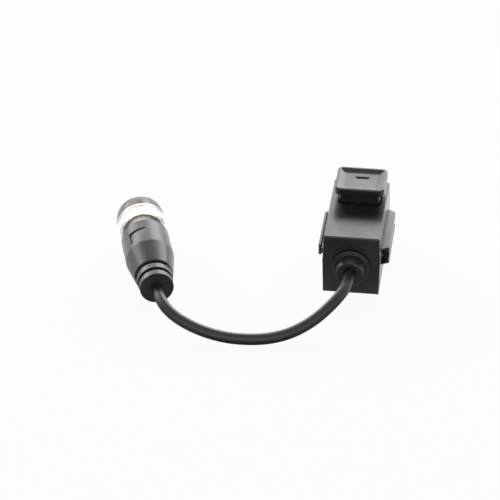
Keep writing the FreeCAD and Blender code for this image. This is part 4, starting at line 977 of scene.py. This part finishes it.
class BALUN_OT_boot(bpy.types.Operator):
    """Moulded plug boot with its grooves and recessed panel"""
    bl_idname = "balun.boot"
    bl_label = "Plug boot"

    def execute(self, context):
        sizes = context.scene.balun_plug
        finish = plastic("boot_plastic", sizes.boot_colour, sizes.boot_roughness, grain=0.0003,
                         ior=1.44)
        boot = turned_piece("plug_moulding", BOOT_OUTLINE, sizes.corner, sizes.segments, finish,
                            PLUG_PLACE)
        depth = sizes.panel_depth / MM
        cut(boot, self.sector(PANEL_SWEEP, lambda left: (
            (BARREL_RADIUS + depth * (0.7 - 1.4 * left), PANEL_ENDS[0]),
            (BARREL_RADIUS + 1.0, PANEL_ENDS[0]), (BARREL_RADIUS + 1.0, PANEL_ENDS[1]),
            (BARREL_RADIUS - depth * (0.5 + 0.5 * left), PANEL_ENDS[1]))))
        floor = GROOVE_RIM_RADIUS - sizes.groove_depth / MM
        section = ((floor, GROOVE_FLOOR[0]), *GROOVE_MOUTH, (floor, GROOVE_FLOOR[1]))
        for sweep in GROOVE_SWEEPS:
            cut(boot, self.sector(sweep, lambda left: section, steps=48))
        adopt(boot, "housing", "plug_boot")
        return {"FINISHED"}

    def sector(self, sweep, section, steps=16):
        """Cutter swept about the plug's axis; section gives its (radius, along) corners in
        millimetres for a share of the sweep."""
        form = bmesh.new()
        rings = []
        for step in range(steps + 1):
            angle = math.radians(sweep[0] + (sweep[1] - sweep[0]) * step / steps)
            rings.append([form.verts.new(PLUG_PLACE @ (Vector((
                math.cos(angle) * reach, along, math.sin(angle) * reach)) * MM))
                for reach, along in section(step / steps)])
        skin(form, rings)
        bmesh.ops.recalc_face_normals(form, faces=form.faces)
        return link_form("sector", form)


class BALUN_OT_plug_metal(bpy.types.Operator):
    """Neck, coupling nut, contacts and washers of the plug"""
    bl_idname = "balun.plug_metal"
    bl_label = "Plug metal"

    def execute(self, context):
        sizes = context.scene.balun_plug
        colour, roughness, ring = sizes.metal_colour, sizes.metal_roughness, sizes.ring_size
        nickel = plate("nickel_plate", colour, roughness, ring=ring, share_of=0.1)
        # The nut's plate has a painted dark reflection band and painted shade along its groove
        nut_finish = plate("nut_plate", colour, roughness, ring=ring, share_of=0.05, painted_reflection=True)
        neck_finish = plate("neck_plate", (0.96, 0.87, 0.76), 0.14, ring=ring, share_of=0.1)
        insulation = plastic("white_insulator", (0.84, 0.84, 0.82), 0.35, dust=0.0, tone=0.03)
        gilt = plate("gilt_contact", (0.85, 0.62, 0.24), 0.2, tarnish=(0.6, 0.36, 0.12))
        rubber = plastic("gasket_rubber", (0.24, 0.035, 0.03), 0.55, grain=0.0004, dust=0.3)
        spring = plate("washer_spring_steel", SPRING_STEEL, 0.26)
        neck = turned_piece("metal_neck", NECK_OUTLINE, NECK_CORNER, sizes.segments, neck_finish,
                            PLUG_PLACE)
        adopt(neck, "housing", "rear_bushing")
        for node, name, body, slot, finish, edge, steps in (
                ("coupling_nut", "twist_nut", "nut", "nickel_plate", nut_finish, 0.15, 3),
                ("contact_sleeve", "slotted_sleeve", "housing", "nickel_plate", nickel, 0.06, 2),
                ("insulator", "pin_insulator", "housing", "white_insulator", insulation, 0.1, 2),
                ("centre_pin", "gilt_pin", "housing", "gilt_contact", gilt, 0.06, 2),
                ("sealing_gasket", "face_gasket", "housing", "gasket_rubber", rubber, 0.15, 2)):
            form = merged_copy(node)
            soften(form, edge * MM, least=40.0, steps=steps)
            adopt(finished(name, form, finish), body, node)
        for node, finish in (("plug_body", nickel), ("crimp_ferrule", nickel),
                             ("thrust_washer", spring)):
            coat(node, finish)
        bowed = finished("bowed_washer", merged_copy("wave_washer"), spring)
        adopt(bowed, "housing", "wave_washer")
        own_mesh(bowed)
        return {"FINISHED"}


class BALUN_PT_panel(bpy.types.Panel):
    """Each operator under the settings it uses"""
    bl_idname = "BALUN_PT_panel"
    bl_label = "Camera video balun"
    bl_space_type = "VIEW_3D"
    bl_region_type = "UI"
    bl_category = "Balun"

    def draw(self, context):
        groups = (
            ("balun_stage", ["balun.stage"]),
            ("balun_cord", ["balun.cord"]),
            ("balun_housing", ["balun.housing", "balun.gland", "balun.terminals", "balun.circuit"]),
            ("balun_button", ["balun.button"]),
            ("balun_plug", ["balun.boot", "balun.plug_metal"]),
        )
        for name, steps in groups:
            part = self.layout.box()
            settings = getattr(context.scene, name)
            for field in settings.__annotations__:
                part.prop(settings, field)
            for step in steps:
                part.operator(step)


SETTINGS = (
    ("balun_stage", StageSettings),
    ("balun_cord", CordSettings),
    ("balun_housing", HousingSettings),
    ("balun_button", ButtonSettings),
    ("balun_plug", PlugSettings),
)
STEPS = (
    BALUN_OT_stage,
    BALUN_OT_cord,
    BALUN_OT_housing,
    BALUN_OT_button,
    BALUN_OT_gland,
    BALUN_OT_terminals,
    BALUN_OT_circuit,
    BALUN_OT_boot,
    BALUN_OT_plug_metal,
)


def register():
    for name, kind in SETTINGS:
        bpy.utils.register_class(kind)
        setattr(bpy.types.Scene, name, PointerProperty(type=kind))
    for kind in (*STEPS, BALUN_PT_panel):
        bpy.utils.register_class(kind)


def unregister():
    for kind in (BALUN_PT_panel, *reversed(STEPS)):
        bpy.utils.unregister_class(kind)
    for name, kind in reversed(SETTINGS):
        delattr(bpy.types.Scene, name)
        bpy.utils.unregister_class(kind)


def main():
    """Run every step."""
    register()
    for step in STEPS:
        call = getattr(bpy.ops.balun, step.bl_idname.split(".")[1])
        if call() != {"FINISHED"}:
            raise RuntimeError(step.bl_label + " didn't finish")


if __name__ == "__main__":
    main()
